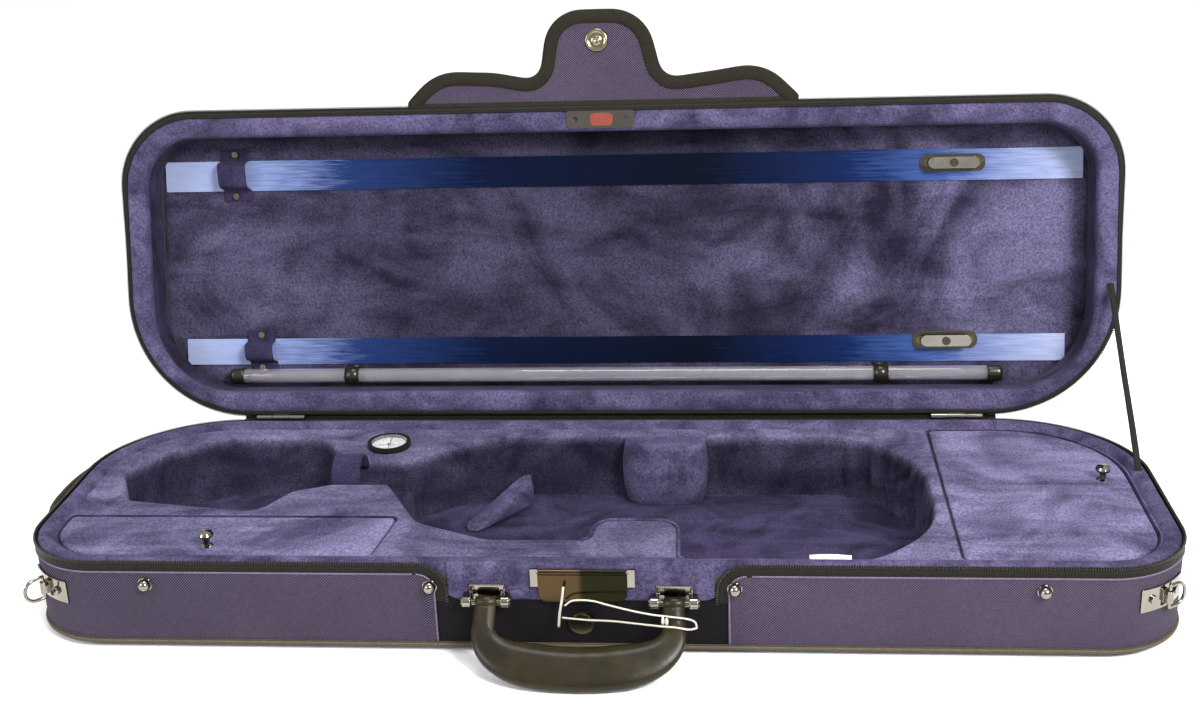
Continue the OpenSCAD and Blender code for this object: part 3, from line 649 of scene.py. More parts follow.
# camera, floor and light
def build_stage():
    az, el, roll = math.radians(5.72), math.radians(20.27), math.radians(-2.35)
    back = Vector((math.sin(az) * math.cos(el), -math.cos(az) * math.cos(el), math.sin(el)))
    right = (-back).cross(Vector((0, 0, 1))).normalized()
    up = right.cross(-back)
    tilt_r = right * math.cos(roll) + up * math.sin(roll)
    tilt_u = -right * math.sin(roll) + up * math.cos(roll)
    data = bpy.data.cameras.new("camera")
    data.lens, data.sensor_width, data.sensor_fit = 47.15, 36.0, "HORIZONTAL"
    data.shift_x, data.shift_y = 0.0080, -0.0119
    data.clip_end = 60
    camera = bpy.data.objects.new("camera", data)
    m = Matrix((tilt_r, tilt_u, back)).transposed().to_4x4()
    m.translation = Vector((107.75, -1080.18, 567.51)) * MM
    camera.matrix_world = m
    bpy.context.scene.collection.objects.link(camera)
    bpy.context.scene.camera = camera

    floor_mat = Mat("floor_paper", Specular_IOR_Level=0.1)
    grain = floor_mat.noise(60.0, 2.0)
    floor_mat.finish(floor_mat.ramp(grain, [(0.3, (0.90, 0.90, 0.90, 1)), (0.7, (0.93, 0.93, 0.93, 1))]),
                     floor_mat.span(grain, 0.85, 0.95))
    mesh = bpy.data.meshes.new("floor")
    s = 14.0
    mesh.from_pydata([(-s, -s, 0), (s, -s, 0), (s, s, 0), (-s, s, 0)], [], [(0, 1, 2, 3)])
    mesh.materials.append(floor_mat.m)
    floor = bpy.data.objects.new("floor", mesh)
    bpy.context.scene.collection.objects.link(floor)

    world = bpy.data.worlds.new("studio")
    world.use_nodes = True
    tree = world.node_tree
    coords, split, sky = (tree.nodes.new("ShaderNode" + kind)
                          for kind in ("TexCoord", "SeparateXYZ", "ValToRGB"))
    tree.links.new(coords.outputs["Generated"], split.inputs[0])
    tree.links.new(split.outputs["Z"], sky.inputs["Fac"])
    stops = sky.color_ramp.elements
    stops.new(0.12)
    stops.new(0.17)
    for stop, at, level in zip(stops, (0.0, 0.12, 0.17, 0.75), (1.0, 1.0, 0.34, 1.0)):
        stop.position, stop.color = at, (level, level, level, 1)
    tree.links.new(sky.outputs["Color"], tree.nodes["Background"].inputs["Color"])
    tree.nodes["Background"].inputs["Strength"].default_value = 1.12
    bpy.context.scene.world = world
    bpy.context.scene.view_settings.view_transform = "Standard"
    for name, at, aim, size, watts in (("key", (1.15, -1.5, 1.55), (0.1, 0, 0.1), 0.6, 84),
                                       ("fill", (-1.9, -1.6, 1.2), (0, 0, 0.15), 1.0, 34),
                                       ("top", (0.1, 0.2, 2.4), (0.1, 0, 0.05), 1.0, 36)):
        lamp = bpy.data.lights.new(name, "AREA")
        lamp.shape, lamp.size, lamp.energy = "SQUARE", size, watts
        o = bpy.data.objects.new(name, lamp)
        o.location = at
        o.rotation_euler = (Vector(aim) - Vector(at)).to_track_quat("-Z", "Y").to_euler()
        bpy.context.scene.collection.objects.link(o)


build_stage()

# outer shell of the base
PATH = outline(0, 4.0)
BAND_DROP = 8.0
TURN_R = 20.0
END_Z = 38.0
TEETH_Z = RIM - 1.3


def zipper_path(top_z, turn_sign, left_end, right_end, bottom):
    """Two 3-D runs of the coil: right front end to the back gap, and the back gap to the left front end."""
    back_gap = HALF_L - BACK_R
    p = resample(rounded([(-HALF_L, -HALF_W, FRONT_R), (HALF_L, -HALF_W, FRONT_R), (HALF_L, HALF_W, BACK_R),
                          (-HALF_L, HALF_W, BACK_R)], 40), 2.0)

    def nearest(x, on_front):
        ok = p[:, 1] < FRONT + 1e-6 if on_front else p[:, 1] > HALF_W - 1e-6
        return int(np.argmin(np.where(ok, np.abs(p[:, 0] - x), 1e6)))

    def run(a, b):
        return [(*p[i % len(p)], top_z) for i in range(a, b + 1 if b >= a else b + len(p) + 1)]

    right = run(nearest(right_end + TURN_R, True), nearest(back_gap, False))[1:]
    left = run(nearest(-back_gap, False), nearest(left_end - TURN_R, True))[:-1]
    centre = top_z + turn_sign * TURN_R

    def arc(end, s):
        return [(end + s * (TURN_R - TURN_R * math.sin(a)), FRONT, centre - turn_sign * TURN_R * math.cos(a))
                for a in np.linspace(0, math.pi / 2, 12)]

    legs = np.arange(centre + turn_sign * 2, bottom, 2.0 * turn_sign)
    first = [(right_end, FRONT, z) for z in legs][::-1] + arc(right_end, 1)[::-1] + right
    second = left + arc(left_end, -1) + [(left_end, FRONT, z) for z in legs]
    return np.array(first), np.array(second)


def strip_frames(p):
    t = unit(np.gradient(p, axis=0))
    nearest = [int(np.argmin(np.sum((PATH - q[:2]) ** 2, axis=1))) for q in p]
    n = at_height(normals(PATH)[nearest], 0)
    for _ in range(2):
        n[1:-1] = (n[:-2] + n[1:-1] + n[2:]) / 3
    n = unit(n - t * np.sum(n * t, axis=1, keepdims=True))
    return t, n, np.cross(n, t)


FLARE = 3.6


def flare(p, w):
    """How far the open lid's tape stands out: most along the front, fading round the corners."""
    along = np.clip((-p[:, 1] + 20) / (HALF_W + 20), 0.25, 1.0)
    return (FLARE * along * max(0.0, 1 - w / 7.0) ** 1.5)[:, None]


def strip(p, profile, lid=False):
    """Tape along a run: profile holds (across, out)."""
    t, n, up = strip_frames(p)
    return grid([p + up * w + n * (o + (flare(p, abs(w)) if lid else 0)) for w, o in profile])


def coil(p, lid, across=1.5, pitch=1.7, out=0.5):
    q = resample(p, pitch, False)
    t, n, up = strip_frames(q)
    q = q + n * (out + (flare(q, 0.0) if lid else 0))
    return merge([bead(q[i], t[i], n[i], up[i], 0.55, 0.95, across, 6, 4) for i in range(len(q))])


def build_zipper(body, top_z, sign, bottom):
    lid = body == "lid"
    side = 1 if lid else -1
    runs = zipper_path(top_z, sign, GAP[0] - 2, GAP[1] + 2, bottom)
    tape = ((BAND_DROP + 1.5, -1.0), (BAND_DROP, 0.1), (6.0, 0.25), (4.0, 0.15), (2.4, 0.3), (0.8, 0.1),
            (-0.4, -0.8))
    tape = [(side * w, o) for w, o in tape]
    piece(body + "_tape_band", merge([strip(run, tape, lid) for run in runs]), TAPE, body,
          [body + "_zipper_tape"], 0.5)
    piece(body + "_coil_teeth", merge([coil(run, lid) for run in runs])[:2], COIL, body,
          [body + "_zipper_teeth"])
    seams = []
    for run in runs:
        t, n, up = strip_frames(run)
        w = 3.2 * side
        line = run + up * w + n * (0.35 + (flare(run, abs(w)) if lid else 0))
        seams.append(merge([bead(line[i], t[i], up[i], n[i], 0.8, 0.22, 0.22, 6, 3)
                            for i in range(len(run))]))
    piece(body + "_tape_stitches", merge(seams)[:2], THREAD_DARK, body)


build_zipper("base", TEETH_Z, -1, END_Z)
build_zipper("lid", RIM + 1.3, 1, RIM + 12)


def cover_height(x, y):
    """Top of the cover: level, but cut down in curves at the two front ends of the zipper."""
    if y > FRONT + 0.5:
        return COVER_TOP
    lo, hi = GAP[0] - 10, GAP[1] + 10
    r = 12.0
    c = COVER_TOP - r
    if x < lo - r or x > hi + r:
        return COVER_TOP
    if x < lo:
        return c + math.sqrt(max(0, r * r - (x - lo + r) ** 2))
    if x > hi:
        return c + math.sqrt(max(0, r * r - (hi + r - x) ** 2))
    return FOOT_H + 4


def cover_path():
    extra = []
    for lo in (GAP[0] - 10, GAP[1] + 10):
        s = -1 if lo < 0 else 1
        extra += [(lo + s * d, FRONT) for d in (-0.05, 0.02, 0.3, 0.8, 1.6, 2.8, 4.4, 6.4, 8.8, 11.8)]
    near = [q[1] < FRONT + 1e-6 and min(abs(q[0] - e[0]) for e in extra) < 1.2 for q in PATH]
    allp = np.array([q for q, close in zip(PATH, near) if not close] + extra)
    ang = np.array([math.atan2(q[1] / HALF_W, q[0] / HALF_L) for q in allp])
    return allp[np.argsort(ang)]


CP = cover_path()
top = np.array([cover_height(x, y) for x, y in CP])
n = normals(CP)
wave = np.array([0.35 * soft(x, y, 60, 2) for x, y in CP])
rows = [at_height(CP - n * inward, FOOT_H + z) for inward, z in ((16, 0.4), (5, 0.5), (1.2, 1.6), (0, 3.6))]
for k in np.linspace(0.08, 1, 9):
    z = FOOT_H + 3.6 + (top - FOOT_H - 3.6 - 0.3) * k
    rows.append(at_height(CP + n * (wave * math.sin(k * 3.1))[:, None], z))
rows += [at_height(CP - n * 0.7, top), at_height(CP - n * 2.4, top - 0.4)]
mesh = merge([grid(rows, True), filled(rows[0], (), 40.0, None, FOOT_H + 0.4)])
piece("cover_base", mesh, TWILL, "base", ["base_cover"])

rows = [[(x, FRONT + 1.0 + 0.3 * soft(x, z, 30), z) for x in np.arange(GAP[0] - 14, GAP[1] + 14.1, 4)]
        for z in np.linspace(FOOT_H + 1, RIM - 22, 10)]
piece("front_panel", grid(rows), TWILL_DEEP, "base", solid=0.8)

hem = []
for lo, s in ((GAP[0] - 10, -1), (GAP[1] + 10, 1)):
    leg = [(lo + s * 0.3, FRONT - 0.3, z) for z in np.arange(9, COVER_TOP - 12, 3)]
    bend = [(lo + s * (12 - 12 * math.cos(a)), FRONT - 0.3, COVER_TOP - 12 + 12 * math.sin(a))
            for a in np.linspace(0, math.pi / 2, 8)]
    hem.append(tube(leg + bend, 0.75, 8))
    hem.append(stitches([(q[0] + s * 7, q[1] - 0.1, q[2]) for q in leg], (0, -1, 0), 3.2, 2.2, 0.32))
keep = [i for i, q in enumerate(PATH) if not (q[1] < FRONT + 1e-6 and GAP[0] - 22 < q[0] < GAP[1] + 22)]
start = max(i for i in range(len(PATH)) if i not in keep) + 1
order = np.array([PATH[(start + i) % len(PATH)] for i in range(len(keep))])
hem.append(tube(at_height(offset(order, 0.3, False), COVER_TOP), 0.75, 8))
piece("cover_hem", merge(hem), HEM, "base")

mesh = tube(at_height(offset(PATH, -0.2), FOOT_H + 2.3), 1.9, 12, True)
piece("bottom_piping", mesh, PIPE, "base", ["base_piping"])

# suede apron over the front edge
END_X = (-67.0, 59.0)
xs = np.arange(GAP[0] - 1, GAP[1] + 1.1, 1.5)
rows = []
profile = [(9, RIM - 0.7), (5, RIM + 0.05), (1.5, RIM - 0.1), (-0.6, RIM - 1.2), (-1.3, RIM - 3.5),
           (-1.1, RIM - 8), (-1.0, RIM - 14), (-1.1, RIM - 20), (-1.5, RIM - 24), (-1.4, RIM - 26),
           (-0.4, RIM - 27.2), (0.9, RIM - 26.4)]
for out, z in profile:
    row = []
    for x in xs:
        edge = min(x - xs[0], xs[-1] - x)
        tuck = 1.3 * math.exp(-(edge / 2.4) ** 2)
        lift = 1.8 * math.exp(-(edge / 5.0) ** 2) if z < RIM - 20 else 0
        behind = max(0.0, min(1.0, (15 - min(abs(x - END_X[0]), abs(x - END_X[1]))) / 2))
        behind *= RIM - 27 < z < RIM - 4
        bulge = out * (1 - behind) + (0.4 + out * 0.1) * behind if out < 0 else out
        row.append((x, FRONT + bulge + (tuck if out < 2 else 0) + 0.3 * soft(x, z, 14, 5) * (1 - behind),
                    z + lift))
    rows.append(row)
piece("suede_apron", grid(rows), SUEDE_RIM, "base", ["front_apron"], solid=0.5)

# base rim roll, deck, hollows
rim_profile = [(-1.6, COVER_TOP - 1), (-1.4, RIM - 5), (-1.7, RIM - 2.2), (-3.2, RIM - 0.6), (-6.0, RIM),
               (-9.0, RIM - 0.5), (-11.6, RIM - 1.8), (-13.2, RIM - 3.4), (-14.2, DECK - 0.6)]
mesh = sweep(PATH, rim_profile, lambda p, k: 0.45 * soft_row(p, 26, 9) * math.sin(k * math.pi))
piece("rim_roll", mesh, SUEDE_RIM, "base", ["base_rim_pad"])

BED = resample(rounded([
    (-373, 28, 8), (-352, -20, 8), (-250, -38, 16), (-232, -4, 14), (-204, 8, 5), (-160, 8, 5),
    (-127, -54, 26), (-72, -80, 30), (-1, -80, 6), (2, -50, 14), (59, -50, 15), (61, -107, 4),
    (188, -111, 60), (240, -58, 90), (240, 44, 90), (196, 97, 60), (-92, 97, 80), (-155, 47, 6),
    (-204, 47, 5), (-208, 60, 8), (-232, 94, 20), (-310, 93, 20), (-350, 66, 8)], 12), 3.0)
LEFT_BOARD = [(-384, -48, 4), (-385, -107, 42), (-150, -107, 5), (-142, -48, 4)]
RIGHT_BOARD = [(250, -107, 4), (384, -107, 42), (384, 107, 82), (250, 107, 4)]
LEFT_HOLD = [(-368, -56, 8), (-368, -98, 34), (-162, -98, 8), (-162, -56, 8)]
RIGHT_HOLD = [(264, -94, 8), (372, -94, 34), (372, 92, 74), (264, 92, 8)]
LIP = [(3.4, 0.0), (1.9, -0.45), (0.8, -1.5), (0.15, -3.2)]


def fold_depth(p, gather):
    """Gathered folds in a wall, one value for each point round it."""
    d = np.r_[0, np.cumsum(np.linalg.norm(np.diff(p[:, :2], axis=0), axis=1))]
    return np.array([gather(x, y) * max(0.0, 0.25 + noise.noise(Vector((s / 7.5, 3.1, 0))) * 1.5)
                     for s, (x, y) in zip(d, p[:, :2])])


def hollow(p, depth, gather=lambda x, y: 0.35, rows_n=8, foot=2.0, lip=LIP, top=None):
    top = DECK if top is None else top
    folds = fold_depth(p, gather)
    nrm = normals(p)
    rows = [at_height(p + nrm * out, top + dz) for out, dz in lip]
    for k in np.linspace(0, 1, rows_n):
        z = top + lip[-1][1] - 2 - (top + lip[-1][1] - 2 - depth) * k
        shape = math.sin(min(1.0, k * 1.15 + 0.05) * math.pi * 0.85)
        bulge = 0.8 * soft_row(p, 30, k * 2) * math.sin(k * math.pi)
        tuck = -foot * max(0, (k - 0.82) / 0.18) ** 2
        rows.append(at_height(p + nrm * (-folds * shape + bulge + tuck)[:, None], z))
    return grid(rows, True, flip=True)


def bed_gather(x, y):
    if x > 176:
        return 5.0
    if y > 90:
        return 2.6
    if x < -206:
        return 1.2
    return 0.7


board_l = resample(rounded(LEFT_BOARD), 3.0)
board_r = resample(rounded(RIGHT_BOARD, 12), 3.0)
BED, board_l, board_r = ccw(BED), ccw(board_l), ccw(board_r)
hold_l, hold_r = ccw(resample(rounded(LEFT_HOLD), 3.5)), ccw(resample(rounded(RIGHT_HOLD, 12), 3.5))
BLIP = [(1.6, 0.0), (0.8, -0.2), (0.2, -0.8), (0.0, -1.8)]


def deck_lift(q, dist):
    return np.minimum(1, dist / 12) * 0.9 * soft_row(q, 48, 4)


deck = filled(outline(PAD_INSET + 0.3, 4.0), [offset(BED, LIP[0][0]), offset(board_l, BLIP[0][0]),
                                              offset(board_r, BLIP[0][0])], 9.0, deck_lift, DECK)
piece("bed_lining", merge([deck, hollow(BED, BED_Z - 0.4, bed_gather, 11)]), SUEDE, "base",
                replaces=["foam_left", "foam_front", "foam_back", "foam_right"])
LEDGE = DECK - BOARD_T
parts = []
for board, hold in ((board_l, hold_l), (board_r, hold_r)):
    nb = normals(board)
    rows = [at_height(board + nb * out, DECK + dz) for out, dz in BLIP] + [at_height(board, LEDGE)]
    parts.append(grid(rows, True))
    parts.append(filled(board, [offset(hold, 1.5)], 12.0, None, LEDGE))
    parts.append(hollow(hold, BED_Z - 0.4, lambda x, y: 0.5, 6, 1.5,
                        [(1.5, 0.0), (0.7, -0.3), (0.15, -1.2), (0, -2.4)], LEDGE))
piece("hold_lining", merge(parts), SUEDE_SHADED, "base")

mesh = filled(outline(COVER_T + 5.2, 6.0), (), 8.0, lambda q, dist: 0.7 * soft_row(q, 34, 8), BED_Z)
piece("bed_floor", mesh, SUEDE_SHADED, "base", ["floor_pad"])

SADDLE_Z = 40.0
corners = [(-211, 4, 5), (-151, 4, 5), (-151, 51, 5), (-211, 51, 5)]
mesh = padded_slab(corners, BED_Z - 0.5, SADDLE_Z - 0.3, 5.0, 0.4, 3.0, 0, 0.4)
piece("neck_saddle", mesh, SUEDE_SHADED, "base")

# piping round the front waist block
edge = rounded([(-14, -80, 0), (-1, -80, 6), (2, -50, 14), (59, -50, 15), (61, -107, 4), (80, -107.4, 0)], 10)
edge = resample(edge[1:-1], 2.5, False)
mesh = tube(at_height(offset(edge, -0.6, False), DECK - 0.9), 1.3, 10)
piece("waist_piping", mesh, SUEDE_RIM, "base")


# compartment lids
for name, corners, node, seed in (("left_board_pad", LEFT_BOARD, "left_compartment_lid", 3.0),
                                  ("right_board_pad", RIGHT_BOARD, "right_compartment_lid", 6.0)):
    body = "left_board" if "left" in name else "right_board"
    mesh = padded_slab(corners, LEDGE + 0.3, DECK + 0.15, 1.9, 0.9, 4.0, 0.65, 0.8, seed)
    piece(name, mesh, SUEDE_BOARD, body, [node])


# cushion, bolster, neck strap and tag
def cushion():
    (x0, x1), (y0, y1), (z0, z1) = case_box("bout_cushion")
    cx, w = (x0 + x1) / 2, (x1 - x0) / 2
    rows = []
    n_u, n_v = 56, 26
    for j in range(n_v):
        t = j / (n_v - 1)
        z = z0 + (z1 - z0 - 0.6) * t
        fat = math.sin(math.pi * (0.10 + 0.74 * t)) ** 0.6
        row = []
        for i in range(n_u):
            a = math.pi * i / (n_u - 1)
            c, s = math.cos(a), math.sin(a)
            x = cx - w * power(c, 0.55) * (0.80 + 0.20 * fat)
            depth = (y1 - y0) * (0.62 + 0.38 * fat) * s ** 0.6
            fold = noise.noise(Vector((x / 4.2, t * 1.2, 5)))
            gather = 1.6 * max(0, fold) * (0.3 + t) * (abs(c) ** 1.5 + 0.25)
            row.append((x, y1 - max(0.2, depth - gather), z))
        rows.append(row)
    crown = []
    for k in (0.55, 0.22, 0.0):
        crown.append([(cx + (x - cx) * (0.55 + 0.45 * k), y1 + (y - y1) * k,
                       z1 - 0.3 + 0.9 * (1 - k) ** 0.5 - 0.3)
                      for x, y, z in rows[-1]])
    return grid(rows + crown)


piece("waist_cushion", cushion(), SUEDE_RIM, "base", ["bout_cushion"])


def bolster():
    base, turn = np.array([-106.0, 28.0]), math.radians(49)
    along, side = np.array([math.cos(turn), math.sin(turn)]), np.array([-math.sin(turn), math.cos(turn)])
    rows = []
    for u in np.linspace(0, 66, 22):
        t = u / 66
        h = 1.2 + 25.4 * t
        ends = math.sqrt(max(0.02, 1 - (abs(2 * t - 1)) ** 8))
        row = []
        for a in circle(28):
            c, s = math.cos(a), math.sin(a)
            y = 8.6 * power(c, 0.7) * ends
            z = BED_Z + 0.2 + h / 2 + (h / 2) * power(s, 0.62) * (0.86 + 0.14 * ends)
            wr = 0.5 * noise.noise(Vector((u / 6, a * 1.5, 2)))
            q = base + along * u + side * (y + wr * np.sign(y))
            row.append((q[0], q[1], z + wr * 0.4))
        rows.append(row)
    return capped(grid(rows, True), 28)


piece("bout_bolster", bolster(), SUEDE_RIM, "base", ["wedge_pad"])


def neck_band():
    (x0, x1), (y0, y1), (_, z1) = case_box("neck_strap")
    mid, half = (y0 + y1) / 2, (y1 - y0) / 2 - 1.2
    pts = [(mid - half, DECK - 14)] + [(mid - half * math.cos(a), DECK - 4 + (z1 - DECK + 2.8) * math.sin(a))
                                       for a in np.linspace(0, math.pi, 22)] + [(mid + half, DECK + 0.1)]
    pts = np.array(pts)
    t = unit(np.gradient(pts, axis=0))
    nn = np.column_stack([-t[:, 1], t[:, 0]])
    rows = []
    section = [(0, 0.2), (0.5, 1.0), (2.2, 1.25), (6, 1.1), (11, 1.2), (16, 1.1), (19.8, 1.25), (21.5, 1.0),
               (22, 0.2), (21.5, -0.9), (16, -1.1), (6, -1.1), (0.5, -0.9)]
    for w, o in section:
        rows.append([(x0 + w * (x1 - x0) / 22, p[0] + q[0] * o, p[1] + q[1] * o) for p, q in zip(pts, nn)])
    seam = [stitches([(x0 + w, p[0] + q[0] * 1.3, p[1] + q[1] * 1.3) for p, q in zip(pts, nn)][1:-1],
                     (0, 0, 1), 2.6, 1.7, 0.25) for w in (2.6, x1 - x0 - 2.6)]
    return grid(rows, False, True), merge(seam)[:2]


band, seam = neck_band()
piece("neck_band", band, SUEDE_FLAP, "neck_strap", ["neck_strap"])
piece("neck_band_stitches", seam, THREAD, "neck_strap")

(tx0, tx1), (ty0, ty1), (_, tz1) = case_box("size_tag")
TAG_LEAN = 9.5
rows = []
for k in np.linspace(0, 1, 7):
    rows.append([(x, (ty0 + ty1) / 2 + TAG_LEAN * (1 - k) + 0.4 * math.sin((x - tx0) / 9),
                  tz1 + 0.6 + (1.4 + 0.5 * math.sin((x - tx0) / 8)) * (1 - k) ** 1.4)
                 for x in np.linspace(tx0, tx1, 14)])
piece("blank_tag", grid(rows), CARD, "base", ["size_tag"], solid=0.5)

# hygrometer dial
def dial_face():
    (x0, x1), (y0, y1), _ = case_box("hygrometer_dial")
    cx, cy, z, r = (x0 + x1) / 2, (y0 + y1) / 2, DECK + 0.62, (x1 - x0) / 2 - 0.2
    disc = rounded([(cx - r, cy - r, r), (cx + r, cy - r, r), (cx + r, cy + r, r), (cx - r, cy + r, r)], 14)
    inner = offset(ccw(disc), -r * 0.93)
    face = merge([grid([at_height(ccw(disc), z), at_height(inner, z)], True, flip=True),
                  grid([at_height(inner, z), at_height(offset(inner, -0.3), z)], True, flip=True)])
    marks = []
    for k in range(31):
        a = math.radians(225 - k * 9)
        d = np.array([math.cos(a), math.sin(a), 0])
        back, a, b = (2.8, 1.3, 0.2) if k % 5 == 0 else (2.2, 0.7, 0.12)
        c = np.array([cx, cy, z + 0.05]) + d * (r - back)
        marks.append(bead(c, d, np.cross([0, 0, 1], d), (0, 0, 1), a, b, 0.06, 8, 3))
    arc = [(cx + (r - 5.2) * math.cos(a), cy + (r - 5.2) * math.sin(a), z + 0.03)
           for a in np.linspace(math.radians(-45), math.radians(225), 50)]
    marks.append(tube(arc, 0.09, 6))
    hub = bead((cx, cy, z + 1.0), (1, 0, 0), (0, 1, 0), (0, 0, 1), 1.4, 1.4, 0.5, 14, 6)
    return face, merge(marks), merge([hub])


face, marks, hub = dial_face()
piece("dial_face", face[:2], CARD, "base", ["hygrometer_dial"])
piece("dial_marks", marks[:2], INK, "base")
piece("dial_hub", hub[:2], CHROME, "pointer")


# handle
PIN_Y = JOINTS["handle_swing"]["pos_m"][1] / MM - PY
PIN_Z = JOINTS["handle_swing"]["pos_m"][2] / MM
TILT = math.radians(-90 - 46)


def handle_space(points):
    p = np.array(points, float).reshape(-1, 3)
    y = p[:, 1] * math.cos(TILT) - p[:, 2] * math.sin(TILT)
    z = p[:, 1] * math.sin(TILT) + p[:, 2] * math.cos(TILT)
    return np.column_stack([p[:, 0], PIN_Y + y, PIN_Z + z])


def handle_parts():
    half = [(-67, 3), (-67.6, 10), (-68.2, 16.5), (-67.6, 23), (-64.4, 30.2), (-58, 36.6), (-48.5, 41.6),
            (-36, 45.0), (-20, 47.0), (-4, 47.6)]
    line = half + [(-8 - x, y) for x, y in half[:-1][::-1]]
    line = resample(np.array(line, float), 2.2, False)
    for _ in range(4):
        line[1:-1] = (line[:-2] + 2 * line[1:-1] + line[2:]) / 4
    t = unit(np.gradient(line, axis=0))
    side = np.column_stack([-t[:, 1], t[:, 0]])
    length = np.linspace(0, 1, len(line))
    rows, edge = [], []
    sides = 30
    for q, s, k in zip(line, side, length):
        u = min(k, 1 - k) * 2
        fat = min(1.0, max(0.0, (u - 0.12) / 0.62)) ** 0.7
        fat = fat * fat * (3 - 2 * fat)
        wide = 7.1 + 7.4 * fat
        thick = 2.45 + 3.3 * fat + 0.35 * fat * math.sin(math.pi * k)
        row = []
        for a in circle(sides):
            c, sn = math.cos(a), math.sin(a)
            square = 0.75 - 0.1 * fat
            w = wide * power(c, square)
            h = thick * power(sn, square + 0.12)
            if c < -0.55:
                pinch = (-c - 0.55) / 0.45
                h *= 1 - 0.55 * pinch * fat
                w -= 1.5 * pinch ** 2 * fat
            row.append((q[0] + s[0] * w, q[1] + s[1] * w - 1.4 * fat,
                        h + 0.12 * noise.noise(Vector((q[0] / 9, a, 1)))))
        rows.append(row)
        edge.append((q[0] - s[0] * (wide - 1.6 * fat), q[1] - s[1] * (wide - 1.6 * fat) - 1.4 * fat, 0, fat))
    return rows, edge


rows, edge = handle_parts()
mesh = capped(grid([handle_space(r) for r in rows], True), len(rows[0]))
piece("grip_leather", mesh, LEATHER, "handle", ["handle_grip"])
for sign, name in ((1, "front"), (-1, "back")):
    path = handle_space([(e[0], e[1], sign * 1.2) for e in edge[7:-7]])
    nrm = handle_space([(0, 0, sign)])[0] - handle_space([(0, 0, 0)])[0]
    piece("grip_stitches_" + name, stitches(path, nrm, 2.6, 1.8, 0.3)[:2], THREAD_DARK, "handle")

ends = []
for x in END_X:
    section = ((-7.2, 0.35), (-6.6, 0.95), (-3, 1.0), (3, 1.0), (6.6, 0.95), (7.2, 0.35), (7.2, -0.35),
               (6.6, -0.95), (-6.6, -0.95), (-7.2, -0.35))
    rows = [[(x + w, y, 2.5 * s) for w, s in section] for y in (24, 17, 10, 5.5, 3.2)]
    ends.append(grid([handle_space(r) for r in rows], True))
    section = ((-7.2, -0.6), (-6.8, 0.5), (0, 0.7), (6.8, 0.5), (7.2, -0.6))
    rows = [[(x + w, -math.cos(a) * (3.3 + o), math.sin(a) * (2.5 + o)) for w, o in section]
            for a in np.linspace(-2.6, 2.6, 20)]
    ends.append(grid([handle_space(r) for r in rows]))
piece("handle_ends", merge(ends), LEATHER, "handle", ["handle_straps"])

# moulded tie looped over the right handle end
tie_y = FRONT - 9


def spline(points, n=10):
    p = np.array(points, float)
    p = np.vstack([2 * p[0] - p[1], p, 2 * p[-1] - p[-2]])
    out = []
    for i in range(1, len(p) - 2):
        for t in np.linspace(0, 1, n, endpoint=False):
            a, b, c, d = p[i - 1:i + 3]
            out.append(0.5 * (2 * b + (c - a) * t + (2 * a - 5 * b + 4 * c - d) * t ** 2
                              + (3 * b - a - 3 * c + d) * t ** 3))
    return np.array(out + [p[-2]])


TIE_UPPER = [(-14, tie_y, 42), (-8, tie_y, 46), (4, tie_y - 1, 46.5), (16, tie_y - 4, 45),
             (30, tie_y - 7, 43), (44, tie_y - 9.5, 41.5), (56, tie_y - 10.6, 40.6), (68, tie_y - 10.6, 39),
             (73, tie_y - 9.6, 36), (74, tie_y - 10, 32)]
TIE_LOWER = [(-16, tie_y, 33), (0, tie_y - 1, 32), (18, tie_y - 4, 33), (36, tie_y - 9, 34),
             (50, tie_y - 14, 35.4), (60, tie_y - 15, 35.2), (69, tie_y - 14.4, 33.4), (74, tie_y - 10, 32)]
TIE_BAR = [(-18.6, tie_y, 26), (-17.5, tie_y - 0.2, 36), (-15.5, tie_y, 47), (-14.2, tie_y + 0.1, 56)]
parts = [tube(spline(TIE_UPPER), 0.65, 10), tube(spline(TIE_LOWER), 0.65, 10), tube(spline(TIE_BAR, 6), 0.9, 10)]
for c in ((52, tie_y - 12.4, 38.4), (54.5, tie_y - 12.8, 38)):
    parts.append(bead(c, (1, 0, 0), (0, 1, 0), (0, 0, 1), 1.2, 1.1, 3.2, 12, 8))
tie = piece("nylon_tie", merge(parts)[:2], MILKY, None, ["tag_tie"])
tuple(place([(8, tie_y, 38)])[0])
tuple(place([(54, tie_y, 38)])[0])
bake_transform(tie)

# carrying strap on the left end
STRAP = [(-374, 93), (-388, 80), (-399, 64), (-407, 44), (-411, 22), (-412, 0), (-411, -20), (-407, -36),
         (-401.4, -50)]
line = spline([(x, y, 0) for x, y in STRAP], 8)[:, :2]
n2 = normals(line, False)
rows = []
for out, z in [(0.9, 42.4), (1.1, 44), (0.8, 48), (1.0, 52), (0.8, 56), (1.1, 60), (0.9, 61.6),
               (-0.9, 61.6), (-1.0, 52), (-0.9, 42.4)]:
    sag = 0.5 * soft_row(line, 40, z / 30)
    rows.append(at_height(line - n2 * (out + sag)[:, None], z))
parts = [grid(rows, False, True)]
for z in (31.0, 42.0):
    loop = [(-399.6, -25.2, 1.6), (-411, -25.2, 4.4), (-411, -54.8, 4.4), (-399.6, -54.8, 1.6)]
    loop = ccw(resample(rounded(loop, 8), 1.5))
    nl = normals(loop)
    rows = [at_height(loop + nl * o, z + h) for o, h in ((0.9, -7.4), (1.05, -5), (0.85, -1), (0.8, 0.6),
                                                         (-0.6, 0.6), (-0.8, -1), (-0.9, -5), (-0.7, -7.4))]
    parts.append(grid(rows, True, True))
piece("carry_webbing", merge(parts), WEB, "base", ["end_strap"])

